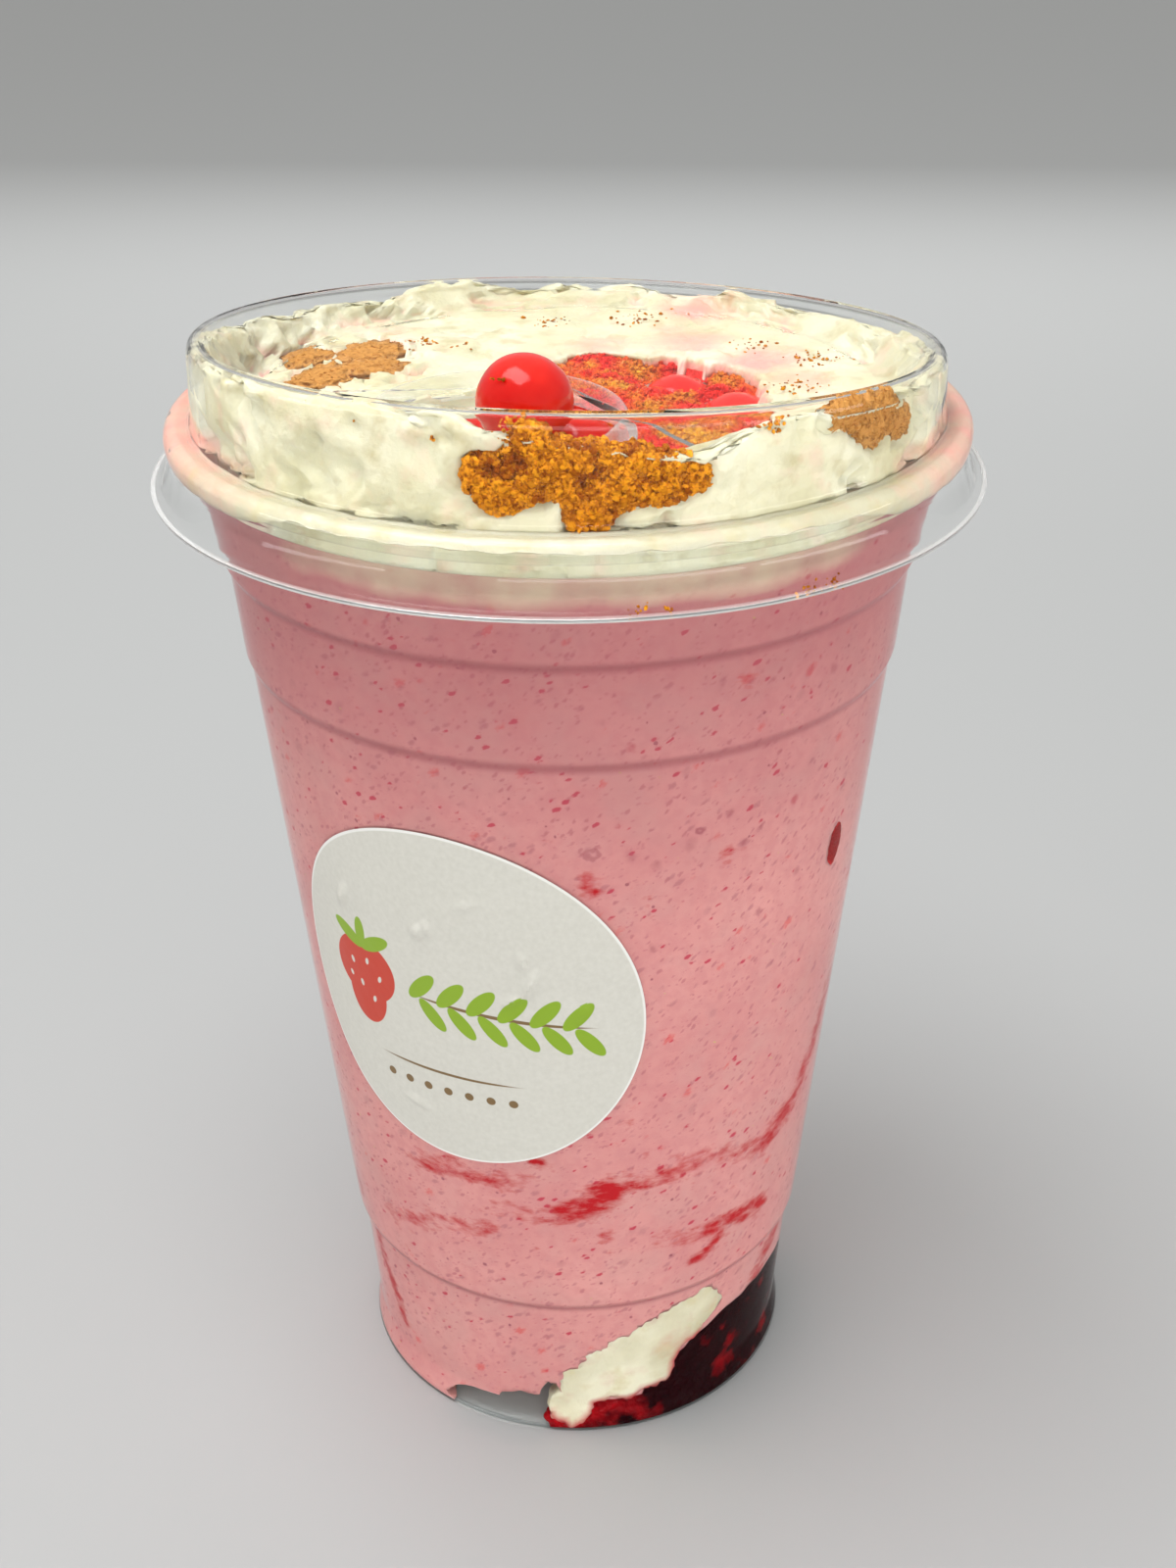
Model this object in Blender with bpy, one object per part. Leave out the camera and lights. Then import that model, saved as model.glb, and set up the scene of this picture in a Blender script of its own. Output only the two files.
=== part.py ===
"""Strawberry smoothie in a clear plastic cup with a clear clip-on sip lid.

Metres, +Z up. The origin is the centre of the foot ring, on the table, and the drinking
side of the lid and the round label face -Y. Sizes below are in millimetres, because the
cup is drawn as a turned profile; MM turns them into metres where the meshes are made.
"""

import math
from collections import namedtuple

import bmesh
import bpy
from mathutils import Matrix, Vector, noise

MM = 0.001
GAP = 0.3  # clearance kept between pieces that touch in the real drink
SEGMENTS = 36  # round the cup and the lid
FILLING_SEGMENTS = 30  # round what is inside them

# Cup: a thermoformed tumbler of about 590 ml with a 98 mm rolled rim.
CUP_WALL = 0.6
KICK_UP = 2.6  # height of the raised middle of the base
FOOT_RADIUS = 31.0
FOOT_RING = (28.6, 30.2)  # the flat ring that stands on the table
WAIST = (30.35, 5.0)  # radius and height of the slight waist above the foot
# Height, radius just below and radius just above each stacking shoulder.
SHOULDERS = ((24.7, 32.0, 32.85), (112.8, 41.75, 42.35), (126.0, 43.5, 44.3))
SHOULDER_HEIGHT = 1.0
FLARE = ((45.7, 137.0), (45.95, 139.2))  # radius and height of the throat under the rim
RIM_CENTRE = (47.6, 140.9)
RIM_ROLL = 1.25  # radius of the rolled edge

# Lid: a flat recessed floor inside a raised crest that slants up to the drinking side.
LID_WALL = 0.5
LID_FLOOR = 144.7
FLOOR_RADIUS = 39.4
CREST_HEIGHT = 151.5  # mean height of the crest
CREST_SLANT = 4.2  # how far the crest rises above, or falls below, the mean
DRINKING_SIDE = math.radians(-14)  # azimuth from -Y towards +X
FLANGE_RADIUS = 52.0
FLANGE_HEIGHT = 135.0
# Sip opening: an oval with a raised collar round it.
SIP_CENTRE = (-8.5, -18.8)
SIP_HALF = (14.5, 16.5)
SIP_SEGMENTS = 24
COLLAR_TOP = 147.4
COLLAR_FOOT = 2.2  # how far the collar spreads outside the opening at the floor
COLLAR_LIP = 0.9  # width of its rounded top

# Contents.
CREAM_BASE_HEIGHT = (131.8, 137.3)  # underside of the cream in the middle and at the wall
WELL_RADII = (34.0, 38.0)  # where the smoothie's top steps up to the wall
BED_CENTRE = (2.0, -8.6)
BED_RADIUS = 27.0
BED_TOP = 142.6
PEARL_RADIUS = 5.3
TOP_PEARL_RADIUS = 5.7
TOP_PEARL = (-5.1, -18.5, 148.5)
LIP_PEARLS = ((-10.4, -9.6, 138.9), (0.6, -11.0, 139.8), (-2.5, -27.1, 141.6))
FLOOR_PEARLS_HEIGHT = 138.1
FLOOR_PEARLS = (
    (14.0, 8.4), (21.2, 0.4), (3.2, 5.3), (-7.8, 4.0), (13.0, -21.0), (-11.0, -21.5),
)

# Label: a round paper sticker on the cup's front left.
LABEL_RADIUS = 25.5
LABEL_AZIMUTH = math.radians(-25)
LABEL_HEIGHT = 76.0
LABEL_THICKNESS = 0.25
LABEL_RINGS = 4
LABEL_SPOKES = 24

# What shows against the cup's wall or under the lid, as chains of lumps. Each lump has its
# azimuth in degrees, the radius and height of its centre, and its half sizes along the
# wall, through it and upwards. Rough is the share by which a lump's surface wanders.
Chain = namedtuple("Chain", "rough cells lumps")
JAM = Chain(0.1, 3, ((60, 24.0, 3.0, (21.0, 21.0, 15.0)),))
CREAM_BASE = Chain(0.15, 2, (
    (1, 28.5, 5.5, (4.2, 4.0, 4.0)),
    (11, 28.5, 8.5, (5.6, 4.2, 5.0)),
    (22, 29.0, 13.5, (5.4, 4.2, 4.6)),
    (31, 29.5, 17.5, (4.6, 4.0, 3.6)),
))
AIR_POCKET = Chain(0.15, 2, ((-20, 27.5, 2.4, (9.5, 7.0, 3.6)),))
BERRY_PIECE = Chain(0.1, 2, ((58, 37.8, 91.1, (1.8, 1.5, 3.3)),))
CREAM_DRIP = Chain(0.15, 2, ((13, 41.6, 131.5, (5.0, 2.0, 6.5)),))
CRUMB_GROUPS = {
    "crumb_heap": Chain(0.2, 3, (
        (-9.5, 44.6, 147.8, (3.6, 2.6, 3.5)),
        (-4.0, 44.6, 149.8, (4.3, 2.6, 4.0)),
        (5.0, 44.6, 147.6, (6.0, 2.6, 4.4)),
        (11.5, 44.6, 148.0, (4.8, 2.6, 2.9)),
    )),
    "crumb_patch_right": Chain(0.2, 2, (
        (47, 44.4, 150.6, (5.0, 2.6, 2.6)),
        (57, 44.4, 147.4, (3.0, 2.6, 3.6)),
    )),
    "crumb_patch_left": Chain(0.2, 2, (
        (245, 38.0, 143.0, (5.5, 3.4, 1.6)),
        (258, 32.0, 143.0, (6.5, 4.5, 1.7)),
    )),
}
POCKET_GAP = 0.8  # clearance of the coarser pockets that the crumbs lie in


# ---------------------------------------------------------------- helpers

def clear_scene():
    for old in list(bpy.data.objects):
        bpy.data.objects.remove(old)


def material(name, colour, roughness, transmission=0.0, ior=1.45):
    made = bpy.data.materials.new(name)
    made.use_nodes = True
    shader = made.node_tree.nodes["Principled BSDF"]
    shader.inputs["Base Color"].default_value = (*colour, 1.0)
    shader.inputs["Roughness"].default_value = roughness
    shader.inputs["Metallic"].default_value = 0.0
    shader.inputs["Transmission Weight"].default_value = transmission
    shader.inputs["IOR"].default_value = ior
    made.diffuse_color = (*colour, 1.0)
    return made


def finish_bmesh(bm, name, finish):
    """Close the mesh, turn its faces outwards and link it as one named object."""
    bmesh.ops.remove_doubles(bm, verts=bm.verts, dist=1e-6)
    bmesh.ops.recalc_face_normals(bm, faces=bm.faces)
    mesh = bpy.data.meshes.new(name)
    bm.to_mesh(mesh)
    bm.free()
    mesh.shade_smooth()
    mesh.set_sharp_from_angle(angle=math.radians(35))
    made = bpy.data.objects.new(name, mesh)
    bpy.context.scene.collection.objects.link(made)
    if finish:
        mesh.materials.append(finish)
    return made


def turned(name, profile, finish, segments=SEGMENTS):
    """Turn an open profile of (radius, height), from axis to axis, into a closed body."""
    bm = bmesh.new()
    line = [bm.verts.new((radius * MM, 0, height * MM)) for radius, height in profile]
    edges = [bm.edges.new(pair) for pair in zip(line, line[1:])]
    bmesh.ops.spin(
        bm, geom=line + edges, cent=(0, 0, 0), axis=(0, 0, 1), angle=math.tau,
        steps=segments, use_merge=True, use_duplicate=False,
    )
    return finish_bmesh(bm, name, finish)


def offset_profile(profile, distance):
    """The profile moved to its right by a distance, its two ends moved along the axis only."""
    moved = []
    for index, (radius, height) in enumerate(profile):
        before = Vector(profile[max(index - 1, 0)])
        after = Vector(profile[min(index + 1, len(profile) - 1)])
        here = Vector((radius, height))
        into = (here - before).normalized() if index else (after - here).normalized()
        out = (after - here).normalized() if index < len(profile) - 1 else into
        normal = (Vector((into.y, -into.x)) + Vector((out.y, -out.x))).normalized()
        stretch = 1 / max(normal.dot(Vector((out.y, -out.x))), 0.7)
        moved.append(tuple(here + normal * distance * stretch))
    if profile[0][0] == 0:
        moved[0] = (0, moved[0][1])
    return moved


def combine(target, tool, operation, keep_tool=False):
    """Apply one Boolean to the target, and remove the tool unless it is kept."""
    modifier = target.modifiers.new(operation.lower(), "BOOLEAN")
    modifier.operation = operation
    modifier.solver = "EXACT"
    modifier.object = tool
    graph = bpy.context.evaluated_depsgraph_get()
    result = bpy.data.meshes.new_from_object(target.evaluated_get(graph))
    target.modifiers.clear()
    target.data = result
    if not keep_tool:
        bpy.data.objects.remove(tool)


def drop_scraps(made):
    """Keep only the largest linked body that the cutting left."""
    bm = bmesh.new()
    bm.from_mesh(made.data)
    bmesh.ops.remove_doubles(bm, verts=bm.verts, dist=1e-7)
    bodies, seen = [], set()
    for start in bm.verts:
        if start in seen:
            continue
        body, front = [], [start]
        seen.add(start)
        while front:
            vert = front.pop()
            body.append(vert)
            linked = {edge.other_vert(vert) for edge in vert.link_edges} - seen
            seen |= linked
            front += linked
        bodies.append(body)
    for scrap in sorted(bodies, key=len)[:-1]:
        bmesh.ops.delete(bm, geom=scrap, context="VERTS")
    bm.to_mesh(made.data)
    bm.free()


def around(azimuth, radius, height):
    """A point at an azimuth from -Y towards +X, in millimetres."""
    return Vector((radius * math.sin(azimuth), -radius * math.cos(azimuth), height))


def lump(name, centre, half_sizes, turn, rough, seed, cells, grow):
    """A lumpy ellipsoid whose X half size lies along the cup's wall at azimuth turn.

    The same lump with a little growth is the cutter that makes room for it."""
    bm = bmesh.new()
    bmesh.ops.create_icosphere(bm, subdivisions=cells, radius=1.0)
    shift = Vector((seed * 3.7, seed * 1.3, seed * 5.1))
    for vert in bm.verts:
        way = vert.co.normalized()
        swell = 1 + rough * noise.noise(way * 2.3 + shift) + rough * 0.5 * noise.noise(way * 6 + shift)
        reach = Vector([part * size * swell for part, size in zip(way, half_sizes)])
        vert.co = (reach + reach.normalized() * grow) * MM
    place = Matrix.Translation(Vector(centre) * MM) @ Matrix.Rotation(turn, 4, "Z")
    bmesh.ops.transform(bm, matrix=place, verts=bm.verts)
    return finish_bmesh(bm, name, None)


def lump_chain(name, chain, grow=0.0, cells=None):
    """The lumps of a chain joined into one body."""
    whole = None
    for index, (azimuth, radius, height, half_sizes) in enumerate(chain.lumps):
        turn = math.radians(azimuth)
        centre = around(turn, radius, height)
        one = lump(name, centre, half_sizes, turn, chain.rough, index + 1, cells or chain.cells, grow)
        if whole is None:
            whole = one
        else:
            combine(whole, one, "UNION")
    whole.name = name
    return whole


# ---------------------------------------------------------------- cup

def cup_skin(inset):
    """The cup's skin from the middle of its floor to its throat, moved in by the inset."""
    inner, outer = FOOT_RING
    points = [
        (0, KICK_UP + inset),
        (26.3 + 0.5 * inset, KICK_UP + inset),
        (27.6 + 0.75 * inset, 1.0 + 0.65 * inset),
        (inner + 0.4 * inset, inset),
        (outer - 0.3 * inset, inset),
        (FOOT_RADIUS - inset, 0.9 + 0.4 * inset),
        (WAIST[0] - inset, WAIST[1]),
    ]
    for height, below, above in SHOULDERS:
        points.append((below - inset, height - SHOULDER_HEIGHT / 2))
        points.append((above - inset, height + SHOULDER_HEIGHT / 2))
    points += [(radius - inset, height) for radius, height in FLARE]
    return points


def wall_radius(height, inset=0.0):
    """Radius of the cup's skin at a height above its waist."""
    points = [p for p in cup_skin(inset) if p[1] >= WAIST[1] and p[0] > 0]
    for low, high in zip(points, points[1:]):
        if low[1] <= height <= high[1]:
            return low[0] + (high[0] - low[0]) * (height - low[1]) / (high[1] - low[1])
    return points[-1][0]


def make_cup(finish):
    roll = []
    for degrees in (-135, -90, -45, 0, 45, 90, 150):
        angle = math.radians(degrees)
        roll.append((RIM_CENTRE[0] + RIM_ROLL * math.cos(angle), RIM_CENTRE[1] + RIM_ROLL * math.sin(angle)))
    return turned("cup", cup_skin(0) + roll + cup_skin(CUP_WALL)[::-1], finish)


# ---------------------------------------------------------------- lid

def lid_skin():
    """The lid's upper skin from the middle of its floor out to the edge of its flange."""
    return [
        (0, LID_FLOOR),
        (FLOOR_RADIUS, LID_FLOOR),
        (40.3, LID_FLOOR + 0.4),
        (43.5, CREST_HEIGHT - 1.5),
        (44.1, CREST_HEIGHT - 0.4),
        (45.0, CREST_HEIGHT),
        (45.9, CREST_HEIGHT - 0.4),
        (46.3, CREST_HEIGHT - 1.5),
        (46.5, 143.2),
        (47.0, 142.6),
        (48.4, 143.0),
        (49.5, 142.6),
        (50.0, 141.6),
        (49.9, 140.4),
        (49.5, 139.4),
        (49.6, 138.3),
        (FLANGE_RADIUS, FLANGE_HEIGHT),
    ]


def slant(made):
    """Raise the crest on the drinking side and lower it opposite; the floor stays level."""
    low, high = LID_FLOOR, CREST_HEIGHT - 1.5
    for vert in made.data.vertices:
        height = vert.co.z / MM
        share = min(max((height - low) / (high - low), 0), 1)
        azimuth = math.atan2(vert.co.x, -vert.co.y)
        vert.co.z += share * CREST_SLANT * math.cos(azimuth - DRINKING_SIDE) * MM


def oval(grow, height):
    """Points round the sip opening, grown by a distance, at a height."""
    points = []
    for step in range(SIP_SEGMENTS):
        angle = math.tau * step / SIP_SEGMENTS
        points.append(Vector((
            SIP_CENTRE[0] + (SIP_HALF[0] + grow) * math.cos(angle),
            SIP_CENTRE[1] + (SIP_HALF[1] + grow) * math.sin(angle),
            height,
        )) * MM)
    return points


def lofted(name, rings, finish, closed_tube):
    """Join rings of points by faces: into a closed tube, or into a plug with two caps."""
    bm = bmesh.new()
    loops = []
    for ring in rings:
        verts = [bm.verts.new(point) for point in ring]
        loops.append([bm.edges.new((a, b)) for a, b in zip(verts, verts[1:] + verts[:1])])
    for lower, upper in zip(loops, loops[1:]):
        bmesh.ops.bridge_loops(bm, edges=lower + upper)
    if closed_tube:
        bmesh.ops.bridge_loops(bm, edges=loops[-1] + loops[0])
    else:
        bmesh.ops.contextual_create(bm, geom=loops[0])
        bmesh.ops.contextual_create(bm, geom=loops[-1])
    return finish_bmesh(bm, name, finish)


def make_lid(finish):
    top = lid_skin()
    lid = turned("lid", top + offset_profile(top, LID_WALL)[::-1], finish)
    slant(lid)
    hole = lofted("sip_hole", [oval(0, LID_FLOOR - 3), oval(0, LID_FLOOR + 3)], None, False)
    combine(lid, hole, "DIFFERENCE")
    collar = lofted("collar", [
        oval(-0.2, LID_FLOOR - LID_WALL),
        oval(COLLAR_FOOT, LID_FLOOR - LID_WALL + 0.1),
        oval(COLLAR_FOOT, LID_FLOOR + 0.3),
        oval(COLLAR_LIP, COLLAR_TOP - 0.4),
        oval(COLLAR_LIP / 2, COLLAR_TOP),
        oval(-0.2, COLLAR_TOP - 0.4),
    ], None, True)
    combine(lid, collar, "UNION")
    return lid


# ---------------------------------------------------------------- contents

def drink_room(name):
    """The cup's inside, clear of its wall, up to the throat."""
    skin = [point for point in cup_skin(CUP_WALL + GAP) if point[1] < CREAM_BASE_HEIGHT[1]]
    top = CREAM_BASE_HEIGHT[1] - GAP
    middle = CREAM_BASE_HEIGHT[0] - GAP
    skin += [(wall_radius(top, CUP_WALL + GAP), top), (WELL_RADII[1], top), (WELL_RADII[0], middle), (0, middle)]
    return turned(name, skin, None, FILLING_SEGMENTS)


def lid_room(name):
    """The room under the lid's skin, clear of it, down to the top of the smoothie."""
    under = offset_profile(lid_skin(), LID_WALL + GAP)[:9]
    throat = CUP_WALL + GAP
    base = CREAM_BASE_HEIGHT
    profile = under + [
        (45.2, 141.2),
        (FLARE[1][0] - throat, FLARE[1][1]),
        (wall_radius(base[1], throat), base[1]),
        (WELL_RADII[1], base[1]),
        (WELL_RADII[0], base[0]),
        (0, base[0]),
    ]
    room = turned(name, profile, None, FILLING_SEGMENTS)
    slant(room)
    return room


def fitted(name, chain, room, finish, neighbours=()):
    """A chain of lumps cut to the room that it lies in, then cut by its neighbours."""
    made = lump_chain(name, chain)
    combine(made, room, "INTERSECT", keep_tool=True)
    for neighbour in neighbours:
        combine(made, lump_chain("cutter", neighbour, GAP), "DIFFERENCE")
    made.data.materials.clear()
    made.data.materials.append(finish)
    drop_scraps(made)
    return made


def make_base_filling(jam_finish, cream_finish, berry_finish):
    """Jam, a blob of cream and a piece of berry, where they show low on the cup's wall."""
    room = drink_room("room")
    fitted("berry_jam", JAM, room, jam_finish)
    fitted("cream_base", CREAM_BASE, room, cream_finish, [JAM])
    fitted("berry_piece", BERRY_PIECE, room, berry_finish)
    bpy.data.objects.remove(room)


def make_smoothie(finish):
    drink = drink_room("smoothie")
    drink.data.materials.append(finish)
    for neighbour in (JAM, CREAM_BASE, AIR_POCKET, BERRY_PIECE, CREAM_DRIP):
        combine(drink, lump_chain("cutter", neighbour, GAP), "DIFFERENCE")
    return drink


def crumb_bed(name, finish, grow=0.0):
    """A round bed of crumbs with a bumpy top, under the lid's floor and its opening."""
    bottom = CREAM_BASE_HEIGHT[0] - (1.0 if grow else 0.0)
    profile = [
        (0, bottom),
        (BED_RADIUS - 3.0 + grow, bottom),
        (BED_RADIUS + grow, 135.0),
        (BED_RADIUS + grow, 140.0),
        (BED_RADIUS - 2.0 + grow, BED_TOP + grow),
    ]
    if grow:
        profile.append((BED_RADIUS - 2.0 + grow, LID_FLOOR))
        profile.append((0, LID_FLOOR))
    else:
        profile += [(BED_RADIUS * share, BED_TOP) for share in (0.72, 0.52, 0.32, 0.13, 0)]
    bed = turned(name, profile, finish, 24)
    for vert in bed.data.vertices:
        if vert.co.z > (BED_TOP - 0.1) * MM and not grow:
            vert.co.z += 0.9 * noise.noise(vert.co * 260) * MM
        vert.co.x += BED_CENTRE[0] * MM
        vert.co.y += BED_CENTRE[1] * MM
    return bed


def pearl_places():
    places = [(TOP_PEARL, TOP_PEARL_RADIUS)]
    places += [(place, PEARL_RADIUS) for place in LIP_PEARLS]
    places += [((*place, FLOOR_PEARLS_HEIGHT), PEARL_RADIUS) for place in FLOOR_PEARLS]
    return places


def ball(name, centre, radius, finish, subdivisions=2):
    bm = bmesh.new()
    place = Matrix.Translation(Vector(centre) * MM)
    bmesh.ops.create_icosphere(bm, subdivisions=subdivisions, radius=radius * MM, matrix=place)
    return finish_bmesh(bm, name, finish)


def make_pearls(finish):
    for index, (centre, radius) in enumerate(pearl_places()):
        ball(f"pearl_{index + 1:02d}", centre, radius, finish, 2 if index else 3)


def make_crumb_bed(finish):
    bed = crumb_bed("crumb_bed", finish)
    for centre, radius in pearl_places():
        combine(bed, ball("cutter", centre, radius + 1.2 * GAP, None), "DIFFERENCE")
    return bed


def make_top_filling(cream_finish, crumb_finish):
    """Whipped cream pressed under the lid, with the crumbs that show through its wall."""
    room = lid_room("room")
    for name, chain in CRUMB_GROUPS.items():
        fitted(name, chain, room, crumb_finish)
    cream = room
    cream.name = "cream_top"
    cream.data.materials.append(cream_finish)
    combine(cream, crumb_bed("cutter", None, GAP), "DIFFERENCE")
    for chain in CRUMB_GROUPS.values():
        combine(cream, lump_chain("cutter", chain, POCKET_GAP, 2), "DIFFERENCE")
    combine(cream, lump_chain("drip", CREAM_DRIP), "UNION")
    drop_scraps(cream)
    return cream


# ---------------------------------------------------------------- label

def make_label(finish):
    """A paper disc bent round the cone of the cup, standing just clear of its wall."""
    bm = bmesh.new()
    rings = []
    for step in range(LABEL_RINGS + 1):
        reach = LABEL_RADIUS * step / LABEL_RINGS
        count = 1 if step == 0 else LABEL_SPOKES
        rings.append([bm.verts.new(label_point(reach, math.tau * spoke / count)) for spoke in range(count)])
    for spoke in range(LABEL_SPOKES):
        after = (spoke + 1) % LABEL_SPOKES
        bm.faces.new((rings[0][0], rings[1][spoke], rings[1][after]))
        for inner, outer in zip(rings[1:], rings[2:]):
            bm.faces.new((inner[spoke], outer[spoke], outer[after], inner[after]))
    bmesh.ops.triangulate(bm, faces=bm.faces)
    back = bm.faces[:]
    copied = bmesh.ops.duplicate(bm, geom=bm.verts[:] + bm.edges[:] + back)["geom"]
    front = [item for item in copied if isinstance(item, bmesh.types.BMVert)]
    for vert in front:
        outwards = Vector((vert.co.x, vert.co.y, 0)).normalized()
        vert.co += outwards * LABEL_THICKNESS * MM
    bmesh.ops.bridge_loops(bm, edges=[edge for edge in bm.edges if edge.is_boundary])
    return finish_bmesh(bm, "label", finish)


def label_point(reach, angle):
    """A point of the label's back, a distance from its centre along the cup's wall."""
    along = reach * math.sin(angle)
    height = LABEL_HEIGHT + reach * math.cos(angle)
    radius = wall_radius(height)
    stand_off = radius + GAP + radius * (1 - math.cos(math.pi / SEGMENTS))
    return around(LABEL_AZIMUTH + along / stand_off, stand_off, height) * MM


def main():
    clear_scene()
    clear = material("clear_plastic", (0.93, 0.95, 0.94), 0.05, 1.0, 1.57)
    make_cup(clear)
    make_lid(clear.copy())
    cream = material("whipped_cream", (0.86, 0.84, 0.68), 0.45)
    crumb = material("biscuit_crumb", (0.52, 0.27, 0.05), 0.8)
    make_base_filling(
        material("berry_jam", (0.09, 0.005, 0.01), 0.2), cream.copy(), material("berry_piece", (0.25, 0.01, 0.02), 0.3)
    )
    make_smoothie(material("strawberry_smoothie", (0.66, 0.29, 0.29), 0.4))
    make_top_filling(cream, crumb)
    make_crumb_bed(crumb.copy())
    make_pearls(material("red_pearl", (0.75, 0.01, 0.01), 0.08))
    make_label(material("label_paper", (0.8, 0.8, 0.8), 0.5))


main()
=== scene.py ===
"""Strawberry smoothie in a clear plastic cup with a clear clip-on sip lid: its looks.

Metres, +Z up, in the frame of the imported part. Sizes are in millimetres and become metres
through MM where a mesh is made. Azimuths run from the front, -Y, towards +X.
"""
import math
from contextlib import contextmanager

import bmesh
import bpy
import numpy as np
from mathutils import Matrix, Vector, noise
from mathutils.bvhtree import BVHTree


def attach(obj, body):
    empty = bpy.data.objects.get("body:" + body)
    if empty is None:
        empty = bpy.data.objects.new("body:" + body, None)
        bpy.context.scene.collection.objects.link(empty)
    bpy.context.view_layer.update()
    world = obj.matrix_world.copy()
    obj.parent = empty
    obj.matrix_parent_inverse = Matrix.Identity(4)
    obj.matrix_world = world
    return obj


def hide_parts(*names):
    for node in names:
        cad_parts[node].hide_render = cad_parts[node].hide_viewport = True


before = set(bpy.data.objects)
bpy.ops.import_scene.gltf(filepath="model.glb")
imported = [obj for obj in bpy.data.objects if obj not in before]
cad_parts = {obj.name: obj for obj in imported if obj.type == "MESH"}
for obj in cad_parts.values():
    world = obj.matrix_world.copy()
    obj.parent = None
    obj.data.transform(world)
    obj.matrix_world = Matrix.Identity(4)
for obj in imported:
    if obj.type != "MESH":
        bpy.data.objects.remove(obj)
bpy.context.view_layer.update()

# ---- Camera ---------------------------------------------------------------------------
# A standing eye a little above the lid, 25 cm from the cup.
def linked(name, data):
    """A new object in the scene that shows its data."""
    thing = bpy.data.objects.new(name, data)
    bpy.context.scene.collection.objects.link(thing)
    return thing


camera_data = bpy.data.cameras.new("camera")
camera_data.lens = 47.25
camera_data.clip_start = 0.01
camera = linked("camera", camera_data)
camera.matrix_world = (
    Matrix.Translation((0, -0.2497, 0.2188))
    @ Matrix.Rotation(math.radians(-0.49), 4, "Z")
    @ Matrix.Rotation(math.radians(90 - 27.47), 4, "X")
    @ Matrix.Rotation(math.radians(-0.36), 4, "Z")
)
bpy.context.scene.camera = camera
bpy.context.scene.view_settings.view_transform = "Standard"

# ---- Studio ---------------------------------------------------------------------------
# A pale matt floor under a soft overhead panel, with weaker fills from all sides.
def plugged(tree, socket, value):
    """Link a socket to the one that feeds it, or set its value; a colour needs no alpha."""
    if isinstance(value, bpy.types.NodeSocket):
        tree.links.new(value, socket)
    else:
        socket.default_value = (*value, 1) if socket.type == "RGBA" else value


def added(tree, kind, *values, **inputs):
    """A new node, its inputs fed in their order or by name, with _ for a space."""
    node = tree.nodes.new(kind)
    for socket, value in zip(node.inputs, values):
        plugged(tree, socket, value)
    for name, value in inputs.items():
        plugged(tree, node.inputs[name.replace("_", " ")], value)
    return node


def ranged(tree, value, low, high, most=1.0, least=0.0, smooth=False):
    """The value between low and high turned into one between least and most."""
    limits = added(
        tree, "ShaderNodeMapRange", Value=value, From_Min=low, From_Max=high, To_Min=least, To_Max=most
    )
    limits.interpolation_type = "SMOOTHSTEP" if smooth else "LINEAR"
    return limits.outputs["Result"]


def shaded(tree, **inputs):
    """Feed inputs of the material's own shader."""
    for name, value in inputs.items():
        plugged(tree, tree.nodes["Principled BSDF"].inputs[name.replace("_", " ")], value)


def new_finish(name, **inputs):
    """A new material and its tree, with the inputs of its shader fed."""
    made = bpy.data.materials.new(name)
    made.use_nodes = True
    shaded(made.node_tree, **inputs)
    return made, made.node_tree


bm = bmesh.new()
bmesh.ops.create_grid(bm, x_segments=1, y_segments=1, size=6)
floor_mesh = bpy.data.meshes.new("floor")
bm.to_mesh(floor_mesh)
bm.free()
floor = linked("floor", floor_mesh)
floor_mesh.materials.append(new_finish("pale_floor", Base_Color=(0.50, 0.51, 0.51), Roughness=0.7)[0])

world = bpy.data.worlds.new("studio")
world.use_nodes = True
sky = world.node_tree
way = added(sky, "ShaderNodeSeparateXYZ", Vector=added(sky, "ShaderNodeTexCoord").outputs["Generated"])
glow = sky.nodes["Background"].inputs
plugged(sky, glow["Color"], (1.0, 0.99, 0.97))
plugged(sky, glow["Strength"], ranged(sky, way.outputs["Z"], 0.0, 0.9, 0.62, 0.46))
bpy.context.scene.world = world
for name, place, size, power in (
    ("overhead_panel", (-0.15, -0.10, 0.75), (0.55, 0.35), 3.2),
    ("front_fill", (0.20, -0.82, 0.13), (1.1, 0.14), 2.8),
    ("left_fill", (-0.75, -0.30, 0.16), (0.6, 0.1), 1.2),
    ("right_fill", (0.75, -0.25, 0.10), (0.6, 0.1), 1.2),
    ("back_fill", (0.05, 0.80, 0.34), (0.9, 0.1), 1.8),
):
    lamp = bpy.data.lights.new(name, "AREA")
    lamp.shape = "RECTANGLE"
    lamp.size, lamp.size_y = size
    lamp.energy = power
    light = linked(name, lamp)
    aim = Vector((0, 0, 0.08)) - Vector(place)
    light.visible_camera = False
    light.visible_glossy = name != "back_fill"
    light.visible_transmission = name != "back_fill"
    light.matrix_world = Matrix.Translation(place) @ aim.to_track_quat("-Z", "Y").to_matrix().to_4x4()

# ---- Cup ------------------------------------------------------------------------------
# A tumbler vacuum-formed from clear PET sheet, with a kicked-up base, three stacking
# shoulders and an edge rolled outwards. It carries everything else.
MM = 0.001
CUP_WALL = 0.6
KICK_UP = 2.6
FOOT_RADIUS = 31.0
FOOT_RING = (28.6, 30.2)
WAIST = (30.35, 5.0)
SHOULDERS = ((24.7, 32.0, 32.85), (112.8, 41.75, 42.35), (126.0, 43.5, 44.3))
SHOULDER_HEIGHT = 1.0
FLARE = ((45.7, 137.0), (45.95, 139.2))
RIM_CENTRE = (47.6, 140.9)
RIM_ROLL = 1.25
CUP_SPOKES = 192


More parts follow.
